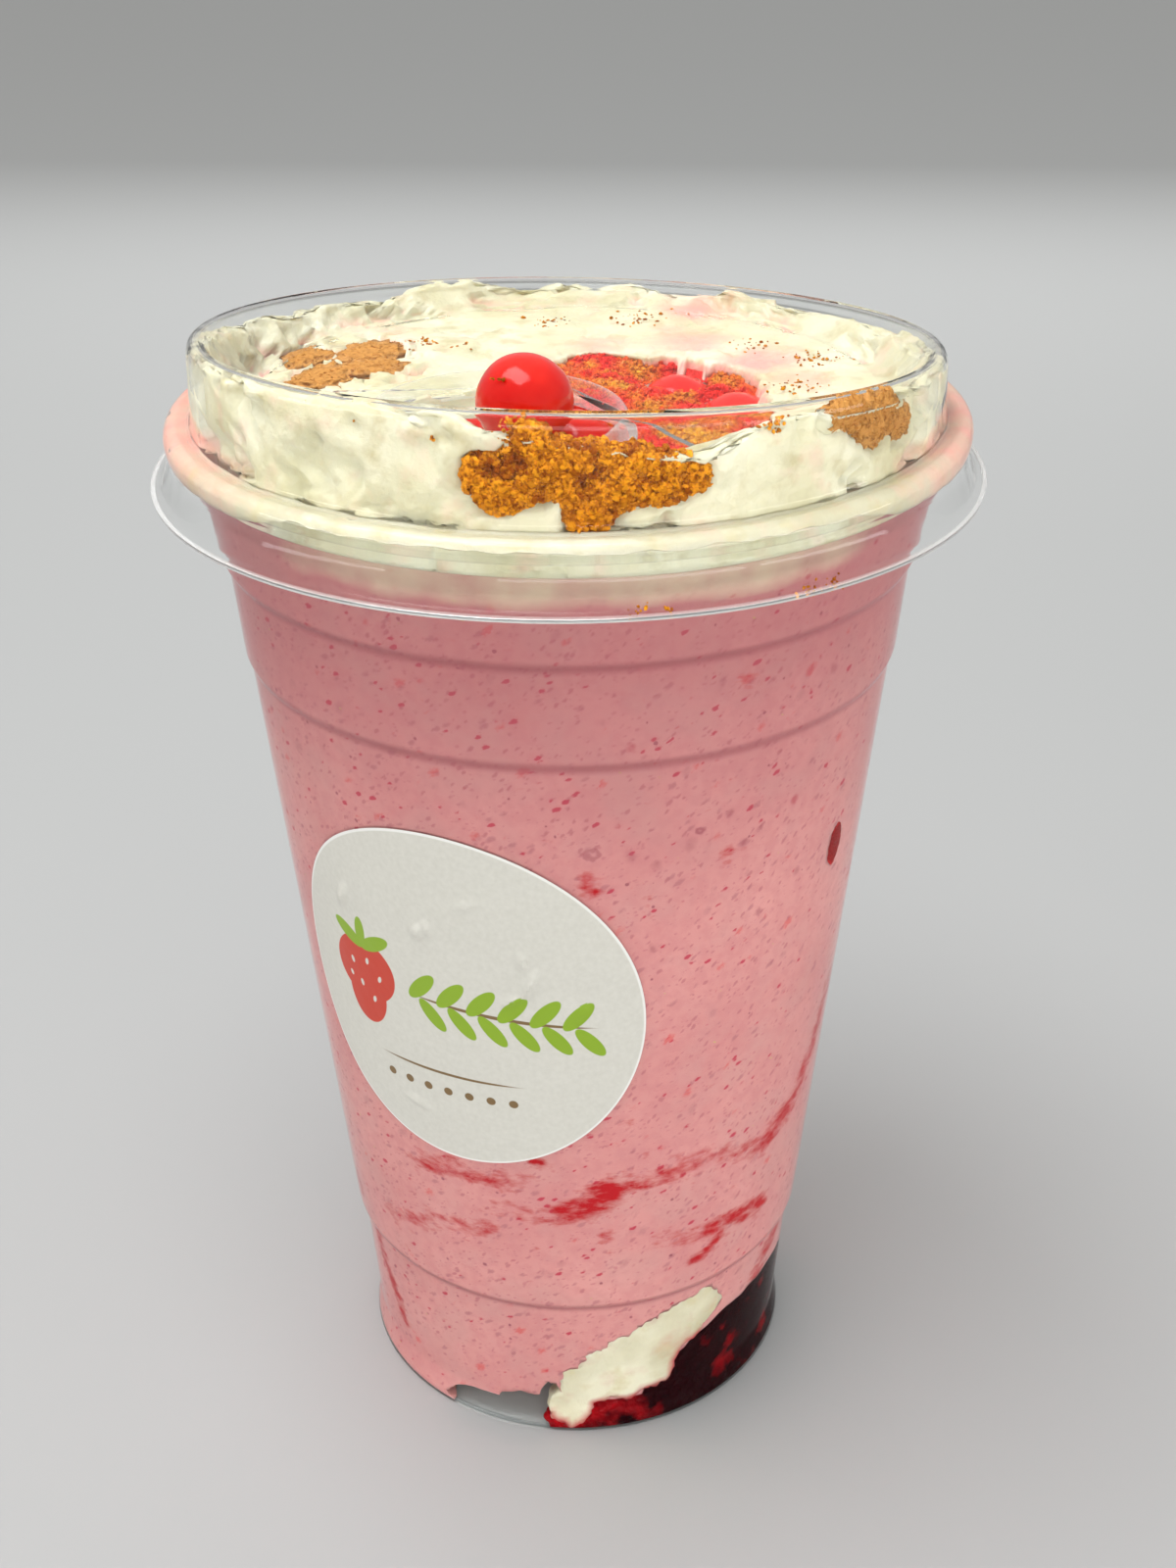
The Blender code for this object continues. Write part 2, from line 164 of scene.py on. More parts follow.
def cup_skin(inset):
    """The cup's skin from the middle of its floor to its throat, moved in by the inset."""
    inner, outer = FOOT_RING
    points = [
        (0, KICK_UP + inset),
        (26.3 + 0.5 * inset, KICK_UP + inset),
        (27.6 + 0.75 * inset, 1.0 + 0.65 * inset),
        (inner + 0.4 * inset, inset),
        (outer - 0.3 * inset, inset),
        (FOOT_RADIUS - inset, 0.9 + 0.4 * inset),
        (WAIST[0] - inset, WAIST[1]),
    ]
    for height, below, above in SHOULDERS:
        points.append((below - inset, height - SHOULDER_HEIGHT / 2))
        points.append((above - inset, height + SHOULDER_HEIGHT / 2))
    points += [(radius - inset, height) for radius, height in FLARE]
    return points


def wall_radius(height, inset=0.0):
    """Radius of the cup's skin at a height above its waist."""
    points = [point for point in cup_skin(inset) if point[1] >= WAIST[1] and point[0] > 0]
    for low, high in zip(points, points[1:]):
        if low[1] <= height <= high[1]:
            return low[0] + (high[0] - low[0]) * (height - low[1]) / (high[1] - low[1])
    return points[-1][0]


def eased(profile, cut, arc=4):
    """The profile with each corner turned into a short curve."""
    curve = [tuple(profile[0])]
    for before, here, after in zip(profile, profile[1:], profile[2:]):
        before, here, after = Vector(before), Vector(here), Vector(after)
        start = here + (before - here).normalized() * min(cut, (before - here).length * 0.48)
        end = here + (after - here).normalized() * min(cut, (after - here).length * 0.48)
        for step in range(arc + 1):
            way = step / arc
            curve.append(tuple(start * (1 - way) ** 2 + here * 2 * way * (1 - way) + end * way ** 2))
    curve.append(tuple(profile[-1]))
    return curve


def divided(profile, stride):
    """The profile with no stretch longer than a stride."""
    line = [tuple(profile[0])]
    for start, end in zip(profile, profile[1:]):
        start, end = Vector(start), Vector(end)
        count = max(1, math.ceil((end - start).length / stride))
        line += [tuple(start.lerp(end, step / count)) for step in range(1, count + 1)]
    return line


def finished(bm, name, finish=None):
    """Close the mesh, turn its faces outwards and link it as one smooth named piece."""
    bmesh.ops.remove_doubles(bm, verts=bm.verts, dist=1e-6)
    bmesh.ops.recalc_face_normals(bm, faces=bm.faces)
    mesh = bpy.data.meshes.new(name)
    bm.to_mesh(mesh)
    bm.free()
    mesh.shade_smooth()
    if finish:
        mesh.materials.append(finish)
    return linked(name, mesh)


def turned(name, profile, spokes, finish=None):
    """Turn a profile of (radius, height) round the axis into a closed piece."""
    bm = bmesh.new()
    line = [bm.verts.new((radius * MM, 0, height * MM)) for radius, height in profile]
    edges = [bm.edges.new(pair) for pair in zip(line, line[1:])]
    bmesh.ops.spin(
        bm, geom=line + edges, cent=(0, 0, 0), axis=(0, 0, 1), angle=math.tau,
        steps=spokes, use_merge=True, use_duplicate=False,
    )
    return finished(bm, name, finish)


def place_in(tree):
    """Where a point lies in the object."""
    return added(tree, "ShaderNodeTexCoord").outputs["Object"]


def clouds(tree, vector, scale, detail):
    return added(tree, "ShaderNodeTexNoise", Vector=vector, Scale=scale, Detail=detail).outputs["Fac"]


def bumped(tree, height, distance, strength=1.0):
    bump = added(tree, "ShaderNodeBump", Height=height, Distance=distance, Strength=strength)
    shaded(tree, Normal=bump.outputs["Normal"])


def surfaced(tree, mask, first, second):
    """Give the material a surface mixed from two shaders."""
    mix = added(tree, "ShaderNodeMixShader", mask, first.outputs["BSDF"], second.outputs["BSDF"])
    plugged(tree, tree.nodes["Material Output"].inputs["Surface"], mix.outputs["Shader"])


def clear_plastic(name, ripple, bend, clearness=1.0, haze=0.04):
    """Clear sheet plastic that lets the lamps through, with the faint ripple of forming."""
    made, tree = new_finish(
        name, Base_Color=(0.985, 0.99, 0.985), Roughness=haze, IOR=bend, Transmission_Weight=clearness
    )
    bumped(tree, clouds(tree, place_in(tree), 160, 1), 0.0004, ripple)
    through = added(tree, "ShaderNodeBsdfTransparent", Color=(0.95, 0.96, 0.955))
    shadow = added(tree, "ShaderNodeLightPath").outputs["Is Shadow Ray"]
    surfaced(tree, shadow, tree.nodes["Principled BSDF"], through)
    return made


def rolled(radius, degrees):
    """Points round the middle of the cup's rolled edge."""
    middle, height = RIM_CENTRE
    turns = [math.radians(step) for step in degrees]
    return [(middle + radius * math.cos(turn), height + radius * math.sin(turn)) for turn in turns]


outside = eased(cup_skin(0), 0.55) + rolled(RIM_ROLL, range(-140, 160, 15))
inside = eased(cup_skin(CUP_WALL), 0.5)
cup = turned("cup_shell", outside + inside[::-1], CUP_SPOKES, clear_plastic("cup_plastic", 0.15, 1.08))
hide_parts("cup")
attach(cup, "root")

# ---- Jam, cream and berry low on the wall ----------------------------------------------
# Strawberry jam spooned in first, a blob of whipped cream beside it and a slice of berry,
# all pressed against the wall by the drink. Each reaches just into the plastic.
INTO_WALL = 0.2
# The hollow of the drink's top: the heights of its middle and its edge, the radii between them.
CREAM_BASE_HEIGHT = (131.8, 137.3)
WELL_RADII = (34.0, 38.0)
# Chains of lumps: their roughness, then azimuth, radius, height and half sizes of each.
JAM = (0.1, (
    (61, 24.0, 3.0, (21.0, 21.0, 15.0)),
    (12, 28.0, 1.2, (10.5, 5.0, 4.6)),
))
CREAM_BASE = (0.15, (
    (-2, 28.5, 4.2, (3.4, 4.0, 3.6)),
    (3, 28.5, 9.0, (4.4, 4.0, 4.4)),
    (8, 28.5, 11.5, (5.0, 4.0, 5.4)),
    (14, 28.8, 12.2, (5.4, 4.2, 7.4)),
    (20, 29.0, 13.5, (5.0, 4.2, 7.4)),
    (27, 29.2, 17.4, (5.0, 4.2, 5.0)),
    (34, 29.5, 19.0, (3.8, 4.0, 3.7)),
))
AIR_POCKET = (0.15, (
    (-23, 27.8, 1.8, (8.5, 7.0, 3.2)),
    (-13, 27.5, 3.2, (5.5, 7.0, 3.6)),
    (-7.5, 27.5, 5.2, (2.0, 6.0, 4.4)),
))
BERRY_PIECE = (0.1, ((58, 37.8, 91.1, (1.9, 3.2, 3.5)),))


def around(azimuth, radius, height):
    """A point at an azimuth, in radians, from the front towards +X."""
    return Vector((radius * math.sin(azimuth), -radius * math.cos(azimuth), height))


def azimuth_of(spot):
    """Degrees from the front towards +X."""
    return math.degrees(math.atan2(spot.x, -spot.y))


def held(value):
    """The value held between 0 and 1."""
    return min(max(value, 0), 1)


def waves(spot, *kinds):
    """A sum of waves of noise, each kind with its height and its fineness."""
    return sum(height * noise.noise(spot * fineness) for height, fineness in kinds)


def combine(target, tool, operation, keep_tool=False):
    """Apply one Boolean to the target, and remove the tool unless it is kept."""
    modifier = target.modifiers.new(operation.lower(), "BOOLEAN")
    modifier.operation = operation
    modifier.solver = "EXACT"
    modifier.object = tool
    graph = bpy.context.evaluated_depsgraph_get()
    result = bpy.data.meshes.new_from_object(target.evaluated_get(graph))
    target.modifiers.clear()
    target.data = result
    if not keep_tool:
        bpy.data.objects.remove(tool)


def lump(name, centre, half_sizes, turn, rough, seed, cells, grain):
    """A lumpy ellipsoid whose first half size lies along the wall; grain roughens it finely."""
    bm = bmesh.new()
    bmesh.ops.create_icosphere(bm, subdivisions=cells, radius=1.0)
    shift = Vector((seed * 3.7, seed * 1.3, seed * 5.1))
    for vert in bm.verts:
        way = vert.co.normalized()
        swell = 1 + rough * noise.noise(way * 2.3 + shift) + rough * 0.5 * noise.noise(way * 6 + shift)
        swell += grain * noise.noise(way * 14 + shift) + grain * 0.6 * noise.noise(way * 31 + shift)
        vert.co = Vector([part * size * swell for part, size in zip(way, half_sizes)]) * MM
    place = Matrix.Translation(Vector(centre) * MM) @ Matrix.Rotation(turn, 4, "Z")
    bmesh.ops.transform(bm, matrix=place, verts=bm.verts)
    return finished(bm, name)


def lumps(name, chain, cells, grain):
    """The lumps of a chain joined into one piece."""
    rough, places = chain
    whole = None
    for index, (azimuth, radius, height, half_sizes) in enumerate(places):
        turn = math.radians(azimuth)
        one = lump(name, around(turn, radius, height), half_sizes, turn, rough, index + 1, cells, grain)
        if whole is None:
            whole = one
        else:
            combine(whole, one, "UNION")
    whole.name = name
    return whole


def cream_well():
    """The hollow in the drink that the cream fills, from its edge to its middle."""
    middle, edge = CREAM_BASE_HEIGHT
    return [(WELL_RADII[1], edge), (WELL_RADII[0], middle), (0, middle)]


def drink_room(name, spokes, stride):
    """The inside of the cup, reaching just into its wall, up to the cream on top."""
    edge = CREAM_BASE_HEIGHT[1]
    skin = [point for point in cup_skin(CUP_WALL - INTO_WALL) if point[1] < edge]
    skin.append((wall_radius(edge, CUP_WALL - INTO_WALL), edge))
    wall = divided(eased(skin, 0.5, 3), stride)
    return turned(name, wall + cream_well(), spokes)


def masked_noise(tree, vector, scale, detail, low, high):
    """A noise texture turned into a mask that rises from low to high."""
    return ranged(tree, clouds(tree, vector, scale, detail), low, high)


def blended(tree, mask, first, second):
    """A colour mixed from two by a mask. Each is a colour or a socket."""
    mix = added(tree, "ShaderNodeMix", mask)
    mix.data_type = "RGBA"
    plugged(tree, mix.inputs[6], first)
    plugged(tree, mix.inputs[7], second)
    return mix.outputs[2]


def worked_out(tree, operation, *parts):
    """The outcome of a sum with its parts in their order."""
    node = added(tree, "ShaderNodeMath", *parts)
    node.operation = operation
    return node.outputs["Value"]


def vectors_out(tree, operation, *parts):
    """The outcome of a sum of vectors with its parts in their order."""
    node = added(tree, "ShaderNodeVectorMath", *parts)
    node.operation = operation
    return node.outputs["Value" if operation in ("DISTANCE", "LENGTH") else "Vector"]


def stored_value(tree, name):
    """What the mesh stores on its vertices under a name."""
    layer = added(tree, "ShaderNodeAttribute")
    layer.attribute_name = name
    return layer.outputs["Fac"]


def jam_finish(name, dark, bright, scale):
    """Wet jam: almost black where it is deep, bright red where it is thin."""
    made, tree = new_finish(name, Roughness=0.2, Specular_IOR_Level=0.05)
    place = place_in(tree)
    thin = worked_out(tree, "ADD", stored_value(tree, "thin"), clouds(tree, place, scale, 4))
    shaded(tree, Base_Color=blended(tree, ranged(tree, thin, 0.57, 0.80), dark, bright))
    bumped(tree, masked_noise(tree, place, scale * 2.2, 3, 0.3, 0.7), 0.0006)
    return made


def cream_finish(name, stain, pale, deep):
    """Whipped cream: warm ivory, softly shadowed in its pores, stained where fruit bleeds in."""
    made, tree = new_finish(
        name, Roughness=0.38, Subsurface_Weight=0.25, Subsurface_Scale=0.003,
        Subsurface_Radius=(1.0, 0.8, 0.55),
    )
    place = place_in(tree)
    colour = blended(tree, masked_noise(tree, place, 95, 4, 0.35, 0.65), deep, pale)
    colour = blended(tree, masked_noise(tree, place, 260, 4, 0.54, 0.72), colour, (0.53, 0.47, 0.28))
    blush = worked_out(tree, "ADD", stored_value(tree, "blush"), clouds(tree, place, 240, 4))
    shaded(tree, Base_Color=blended(tree, ranged(tree, blush, 0.55, 1.35), colour, stain))
    bumped(tree, masked_noise(tree, place, 420, 5, 0.25, 0.75), 0.0003, 0.7)
    return made


def stored(piece, name, strength):
    """Store on each vertex the strength that its place gives."""
    layer = piece.data.attributes.new(name, "FLOAT", "POINT")
    for vert in piece.data.vertices:
        layer.data[vert.index].value = strength(vert.co)


def pressed(source, name):
    """A copy of some lumps, cut off where they reach into the wall."""
    piece = linked(name, source.data.copy())
    combine(piece, room, "INTERSECT", keep_tool=True)
    return piece


def thin_jam(spot):
    """The jam is a thin smear towards the front."""
    return 0.20 * held((22 - azimuth_of(spot)) / 10)


def jam_stain(spot):
    """The cream is stained red within a millimetre or so of the jam."""
    return max(0.0, 0.9 - (jam.closest_point_on_mesh(spot)[1] - spot).length / (1.3 * MM))


room = drink_room("room", 192, 0.8)
jam_lump = lumps("jam_lump", JAM, 5, 0.015)
cream_lumps = lumps("cream_lumps", CREAM_BASE, 4, 0.09)
berry_lump = lumps("berry_lump", BERRY_PIECE, 4, 0.05)
jam = pressed(jam_lump, "jam")
combine(jam, cream_lumps, "DIFFERENCE", keep_tool=True)
stored(jam, "thin", thin_jam)
jam.data.materials.append(jam_finish("wet_jam", (0.010, 0.0004, 0.001), (0.30, 0.003, 0.006), 210))
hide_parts("berry_jam")
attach(jam, "root")

blob = pressed(cream_lumps, "cream_blob")
stored(blob, "blush", jam_stain)
# Painted shade: the blob gets a darker copy of the whipped cream's colours.
shaded_blob_cream = cream_finish("shaded_blob_cream", (0.42, 0.05, 0.05), (0.66, 0.63, 0.48), (0.47, 0.43, 0.28))
blob.data.materials.append(shaded_blob_cream)
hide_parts("cream_base")
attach(blob, "root")

berry = pressed(berry_lump, "berry_slice")
bpy.data.objects.remove(room)
stored(berry, "thin", lambda spot: 0.35 * held((90.5 - spot.z / MM) / 3))
berry.data.materials.append(jam_finish("berry_flesh", (0.22, 0.001, 0.001), (0.50, 0.005, 0.006), 300))
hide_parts("berry_piece")
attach(berry, "root")

# ---- Smoothie -------------------------------------------------------------------------
# Blended strawberries and milk, thick enough to hold flecks of fruit skin, seeds and a few
# smears of syrup. It fills the cup from the jam to the cream.
CREAM_DRIP = (0.15, ((13, 41.6, 131.5, (5.0, 2.0, 6.5)),))
# Painted shade: the drink is painted darker towards its top, in the shade of the lid.
TOP_SHADE_HEIGHTS = (88, 124)  # heights between which the drink darkens towards the cream
# Smears of syrup on the wall: half width, strength, and places as (azimuth, height).
SMEARS = (
    (1.9, 0.66, ((-36, 46.6), (-27.4, 48.4), (-24.8, 47.7))),
    (2.1, 0.60, ((-24.8, 47.6), (-19, 46.9), (-12.4, 48.3))),
    (1.8, 0.50, ((-18, 42.1), (-8.8, 42.6), (-2.5, 42.4))),
    (2.3, 0.92, ((-2.5, 42.6), (0.7, 44.0), (5.0, 45.2), (7.0, 46.6))),
    (1.9, 0.68, ((6.9, 46.3), (11.7, 47.2), (17.3, 47.0))),
    (2.1, 0.56, (
        (17.3, 47.2), (22.2, 48.7), (27.5, 48.4), (33.2, 47.9), (39.6, 46.9), (48.5, 46.0),
    )),
    (2.4, 0.74, ((48.5, 46.0), (58, 49), (66, 55), (72, 64))),
    (1.6, 0.54, ((20, 35.8), (29.5, 34.8))),
    (1.7, 0.90, ((32.5, 34.8), (36.8, 34.5), (42.6, 34.5), (49.5, 34.0))),
    (1.0, 0.82, ((35.8, 33.8), (34.7, 31.1), (29.2, 30.0))),
    (1.8, 0.55, ((-50, 32.5), (-33.4, 36.8), (-26.5, 37.2), (-20, 38.5))),
    (0.9, 0.85, ((6.3, 38.5), (6.5, 37.9))),
    (0.6, 0.60, ((7.2, 35.4), (7.3, 35.0))),
    (0.7, 0.50, ((-9.6, 36.3), (-9.3, 36.0))),
    (0.7, 0.55, ((14.9, 52.1), (15.2, 51.8))),
    (0.9, 0.95, ((-8.9, 51.9), (-8.3, 51.7))),
    (0.8, 0.60, ((10.2, 58.6), (10.8, 58.2))),
    (1.2, 0.85, ((-67, 22), (-65.4, 19.2), (-60.5, 15.0), (-56.1, 9.1))),
    (1.5, 0.85, ((-72, 31), (-71, 29))),
    (2.0, 0.75, ((66, 22), (61.3, 20.0), (56.6, 18.6))),
    (1.4, 0.62, ((72, 84), (72.5, 80))),
    (1.1, 0.85, ((1.6, 96.6), (3.0, 95.2))),
    (0.7, 0.62, ((12.6, 92.4), (13.8, 93.5))),
    (1.2, 0.46, ((27.4, 98.5), (28.4, 97.3))),
    (1.2, 0.50, ((26.8, 121.4), (28.2, 121.9))),
)
# Painted shade: the colour of a soft dark band just under each stacking shoulder.
SHOULDER_SHADE = (0.30, 0.085, 0.10)
MAUVE = (0.30, 0.085, 0.105)
DARK_RED = (0.36, 0.02, 0.045)
ALMOST_BLACK = (0.10, 0.003, 0.008)
SEED = (0.42, 0.30, 0.06)
# The larger bruises and seeds, and the painted shade round the edges of bubbles: azimuth, height,
# radius, radius of a ring, strength, colour.
MARKS = (
    (15.2, 86.5, 0.75, 0, 0.8, MAUVE), (3.8, 101, 0.28, 1.0, 0.6, MAUVE),
    (28.2, 104.2, 0.7, 0, 0.75, MAUVE), (31.9, 99.3, 0.8, 0, 0.7, MAUVE),
    (35.2, 100.7, 0.6, 0, 0.7, MAUVE), (22.9, 102.6, 0.3, 0.45, 0.8, MAUVE),
    (21.1, 100.9, 1.1, 0, 0.4, MAUVE), (15.3, 98.7, 0.9, 0, 0.45, MAUVE),
    (42.8, 103, 0.7, 0, 0.55, DARK_RED), (10.6, 100.4, 1.0, 0, 0.4, MAUVE),
    (37.2, 87.9, 0.7, 0, 0.6, MAUVE), (8.3, 104.8, 0.6, 0, 0.8, DARK_RED),
    (10.2, 115.7, 0.9, 0, 0.7, DARK_RED), (47.4, 119.9, 0.9, 0, 0.5, MAUVE),
    (46.2, 91.7, 0.8, 0, 0.5, MAUVE), (40.2, 18.8, 1.3, 0, 0.95, ALMOST_BLACK),
    (6.5, 111.3, 0.35, 0, 0.8, SEED), (15.2, 111.2, 0.3, 0, 0.8, SEED),
)
# Flecks: cells per metre, size and share of the cells, raggedness, softness, weight, tilt in
# degrees, how far they are drawn out, colour.
FLECK_KINDS = (
    (1250, 0.50, 0.40, 0.0005, 0.16, 0.50, -20, 1.8, (0.40, 0.13, 0.15)),
    (820, 0.52, 0.36, 0.0008, 0.20, 0.62, -50, 2.0, (0.36, 0.11, 0.13)),
    (560, 0.52, 0.27, 0.0010, 0.24, 0.60, -35, 2.0, (0.34, 0.12, 0.14)),
    (340, 0.46, 0.22, 0.0016, 0.28, 0.48, -65, 1.7, (0.37, 0.15, 0.16)),
    (640, 0.46, 0.17, 0.0007, 0.14, 0.90, -28, 1.8, (0.42, 0.03, 0.06)),
    (370, 0.44, 0.12, 0.0016, 0.22, 0.62, -45, 1.6, (0.55, 0.07, 0.07)),
    (950, 0.34, 0.05, 0.0003, 0.10, 0.70, 0, 1.0, (0.20, 0.04, 0.07)),
    (560, 0.18, 0.04, 0.0001, 0.06, 0.80, 30, 2.0, (0.45, 0.38, 0.13)),
)


def fleck_group():
    """Flecks scattered through a body: a mask of specks of a size, in a share of the cells."""
    group = bpy.data.node_groups.new("fruit flecks", "ShaderNodeTree")
    group.interface.new_socket("Vector", in_out="INPUT", socket_type="NodeSocketVector")
    for name in ("Scale", "Size", "Share", "Ragged", "Soft"):
        group.interface.new_socket(name, in_out="INPUT", socket_type="NodeSocketFloat")
    group.interface.new_socket("Mask", in_out="OUTPUT", socket_type="NodeSocketFloat")
    given = added(group, "NodeGroupInput").outputs
    wander = added(group, "ShaderNodeTexNoise", Vector=given["Vector"], Scale=1500, Detail=2)
    wander = vectors_out(group, "SUBTRACT", wander.outputs["Color"], (0.5, 0.5, 0.5))
    moved = vectors_out(group, "MULTIPLY_ADD", wander, given["Ragged"], given["Vector"])
    cells = added(group, "ShaderNodeTexVoronoi", Vector=moved, Scale=given["Scale"]).outputs
    parts = added(group, "ShaderNodeSeparateColor", cells["Color"]).outputs
    reach = worked_out(group, "MULTIPLY", parts["Green"], given["Size"])
    speck = ranged(group, worked_out(group, "SUBTRACT", reach, cells["Distance"]), 0, given["Soft"])
    chosen = worked_out(group, "LESS_THAN", parts["Red"], given["Share"])
    added(group, "NodeGroupOutput", Mask=worked_out(group, "MULTIPLY", speck, chosen))
    return group


FLECKS = fleck_group()


def flecks(tree, vector, scale, size, share, ragged, soft, weight, tilt, squeeze):
    """One kind of fleck as a mask, drawn out along a tilted line and weakened to its weight."""
    drawn = added(
        tree, "ShaderNodeMapping", Vector=vector, Location=(tilt * 0.013, 0, scale * 0.0007),
        Rotation=(0, math.radians(tilt), 0), Scale=(1, 1, 1 / squeeze),
    )
    drawn.vector_type = "TEXTURE"
    made = added(tree, "ShaderNodeGroup")
    made.node_tree = FLECKS
    for socket, value in zip(made.inputs, (drawn.outputs["Vector"], scale, size, share, ragged, soft)):
        plugged(tree, socket, value)
    return worked_out(tree, "MULTIPLY", made.outputs["Mask"], weight)


def soft_mark(tree, place, azimuth, height, radius, ring, weight):
    """A round bruise seen through the wall, or painted shade round the edge of a bubble with the radius
    of a ring.
    """
    middle = around(math.radians(azimuth), wall_radius(height, CUP_WALL - INTO_WALL), height) * MM
    away = vectors_out(tree, "DISTANCE", place, middle)
    off = worked_out(tree, "ABSOLUTE", worked_out(tree, "SUBTRACT", away, ring * MM))
    return ranged(tree, off, radius * 1.3 * MM, radius * 0.3 * MM, weight, smooth=True)


def smoothie_finish():
    """Pink drink with drifts, flecks and bruises, darker by painted shade under the cream and under each
    shoulder, with milk and syrup in it.
    """
    made, tree = new_finish(
        "blended_strawberry", Roughness=0.35, Specular_IOR_Level=0.15, Subsurface_Weight=0.15,
        Subsurface_Scale=0.002, Subsurface_Radius=(1.0, 0.5, 0.4),
    )
    place = place_in(tree)
    drift = masked_noise(tree, place, 55, 3, 0.3, 0.7)
    colour = blended(tree, drift, (0.508, 0.214, 0.205), (0.578, 0.267, 0.249))
    mottle = ranged(tree, clouds(tree, place, 650, 3), 0.42, 0.62, 0.35)
    colour = blended(tree, mottle, colour, (0.46, 0.17, 0.18))
    milky = ranged(tree, clouds(tree, place, 135, 3), 0.46, 0.66, 0.45)
    colour = blended(tree, milky, colour, (0.49, 0.26, 0.24))
    for *fleck, shade in FLECK_KINDS:
        colour = blended(tree, flecks(tree, place, *fleck), colour, shade)
    wobble = added(tree, "ShaderNodeTexNoise", Vector=place, Scale=900).outputs["Color"]
    wandering = vectors_out(tree, "MULTIPLY_ADD", wobble, (0.0012,) * 3, place)
    # Bruises and seeds, and painted shade round the edges of bubbles.
    for *mark, shade in MARKS:
        colour = blended(tree, soft_mark(tree, wandering, *mark), colour, shade)
    upwards = added(tree, "ShaderNodeSeparateXYZ", Vector=place).outputs["Z"]
    # Painted shade in a soft band just under each shoulder.
    for height, _, _ in SHOULDERS:
        off = worked_out(tree, "ABSOLUTE", worked_out(tree, "SUBTRACT", upwards, (height - 0.35) * MM))
        line = ranged(tree, off, 1.2 * MM, 0.1 * MM, 0.62, smooth=True)
        colour = blended(tree, line, colour, SHOULDER_SHADE)
    # Painted shade: darker towards the top, under the lid.
    top_shade = ranged(tree, upwards, TOP_SHADE_HEIGHTS[0] * MM, TOP_SHADE_HEIGHTS[1] * MM, 0.52)
    colour = blended(tree, top_shade, colour, (0.26, 0.075, 0.085))
    curds = worked_out(tree, "ADD", stored_value(tree, "milk"), clouds(tree, place, 170, 4))
    colour = blended(tree, ranged(tree, curds, 0.95, 1.75), colour, (0.54, 0.43, 0.31))
    drawn = added(
        tree, "ShaderNodeMapping", Vector=place, Rotation=(0, math.radians(12), 0), Scale=(1, 1, 2.2)
    ).outputs["Vector"]
    torn = added(tree, "ShaderNodeTexNoise", Vector=drawn, Scale=330, Detail=5, Roughness=0.62)
    syrup = worked_out(tree, "MULTIPLY_ADD", torn.outputs["Fac"], 1.9, stored_value(tree, "syrup"))
    shaded(tree, Base_Color=blended(tree, ranged(tree, syrup, 1.26, 1.84), colour, (0.37, 0.008, 0.012)))
    return made


def smear_strength(point):
    """How much syrup lies on the wall at a point, from 0 to 1."""
    here = Vector((azimuth_of(point), point.z / MM))
    reach = math.hypot(point.x, point.y) / MM
    best = 0.0
    if reach < 25:
        return best
    for width, strength, places in SMEARS:
        for ends in zip(places, places[1:]):
            a, b = (Vector(((end[0] - here.x) * math.radians(reach), end[1] - here.y)) for end in ends)
            along = b - a
            away = (a + along * held(-a.dot(along) / along.length_squared)).length / width
            best = max(best, strength * math.exp(-away * away * 0.7))
    return best


def milk_strength(point):
    """How far cream has run into the drink, under the drinking side, or froth at the air pocket."""
    x, y, z = point / MM
    if z < 9 and y < -10 and math.hypot(x, y) < FOOT_RADIUS - 1.6:
        return 0.75
    return held((58 - abs(azimuth_of(point) - 2)) / 22) * held((z - 131.2) / 3.4)


smoothie = drink_room("smoothie_body", 192, 0.8)
air = lumps("air", AIR_POCKET, 4, 0.06)
drip = lumps("drip", CREAM_DRIP, 4, 0.05)
for tool in (jam_lump, cream_lumps, berry_lump, air, drip):
    combine(smoothie, tool, "DIFFERENCE")
stored(smoothie, "syrup", smear_strength)
stored(smoothie, "milk", milk_strength)
smoothie.data.shade_smooth()
smoothie.data.materials.append(smoothie_finish())
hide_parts("smoothie")
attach(smoothie, "root")

# ---- Lid ------------------------------------------------------------------------------
# Clear PET vacuum-formed in one sheet: a sunken floor with an oval sip opening and its
# collar, a crest that rises towards the drinking side, and a skirt clipped over the rim.
LID_WALL = 0.5
LID_FLOOR = 144.7
FLOOR_RADIUS = 39.4
CREST_HEIGHT = 151.5
CREST_SLANT = 4.2
DRINKING_SIDE = math.radians(-14)
FLANGE_RADIUS = 52.0
FLANGE_HEIGHT = 135.0
SIP_CENTRE = (-8.5, -18.8)
SIP_HALF = (14.5, 16.5)
COLLAR_TOP = 147.4
LID_SPOKES = 192


def lid_skin():
    """The lid's upper skin from the middle of its floor out to the edge of its skirt."""
    return [
        (0, LID_FLOOR),
        (FLOOR_RADIUS, LID_FLOOR),
        (40.3, LID_FLOOR + 0.4),
        (43.5, CREST_HEIGHT - 1.5),
        (44.1, CREST_HEIGHT - 0.4),
        (45.0, CREST_HEIGHT),
        (45.9, CREST_HEIGHT - 0.4),
        (46.3, CREST_HEIGHT - 1.5),
        (46.5, 143.2),
        (47.0, 142.6),
        (48.4, 143.0),
        (49.5, 142.6),
        (50.0, 141.6),
        (49.9, 140.4),
        (49.5, 139.4),
        (49.6, 138.3),
        (FLANGE_RADIUS - 1.4, FLANGE_HEIGHT + 0.8),
        (FLANGE_RADIUS - 1.0, FLANGE_HEIGHT + 0.45),
        (FLANGE_RADIUS, FLANGE_HEIGHT + 0.25),
    ]


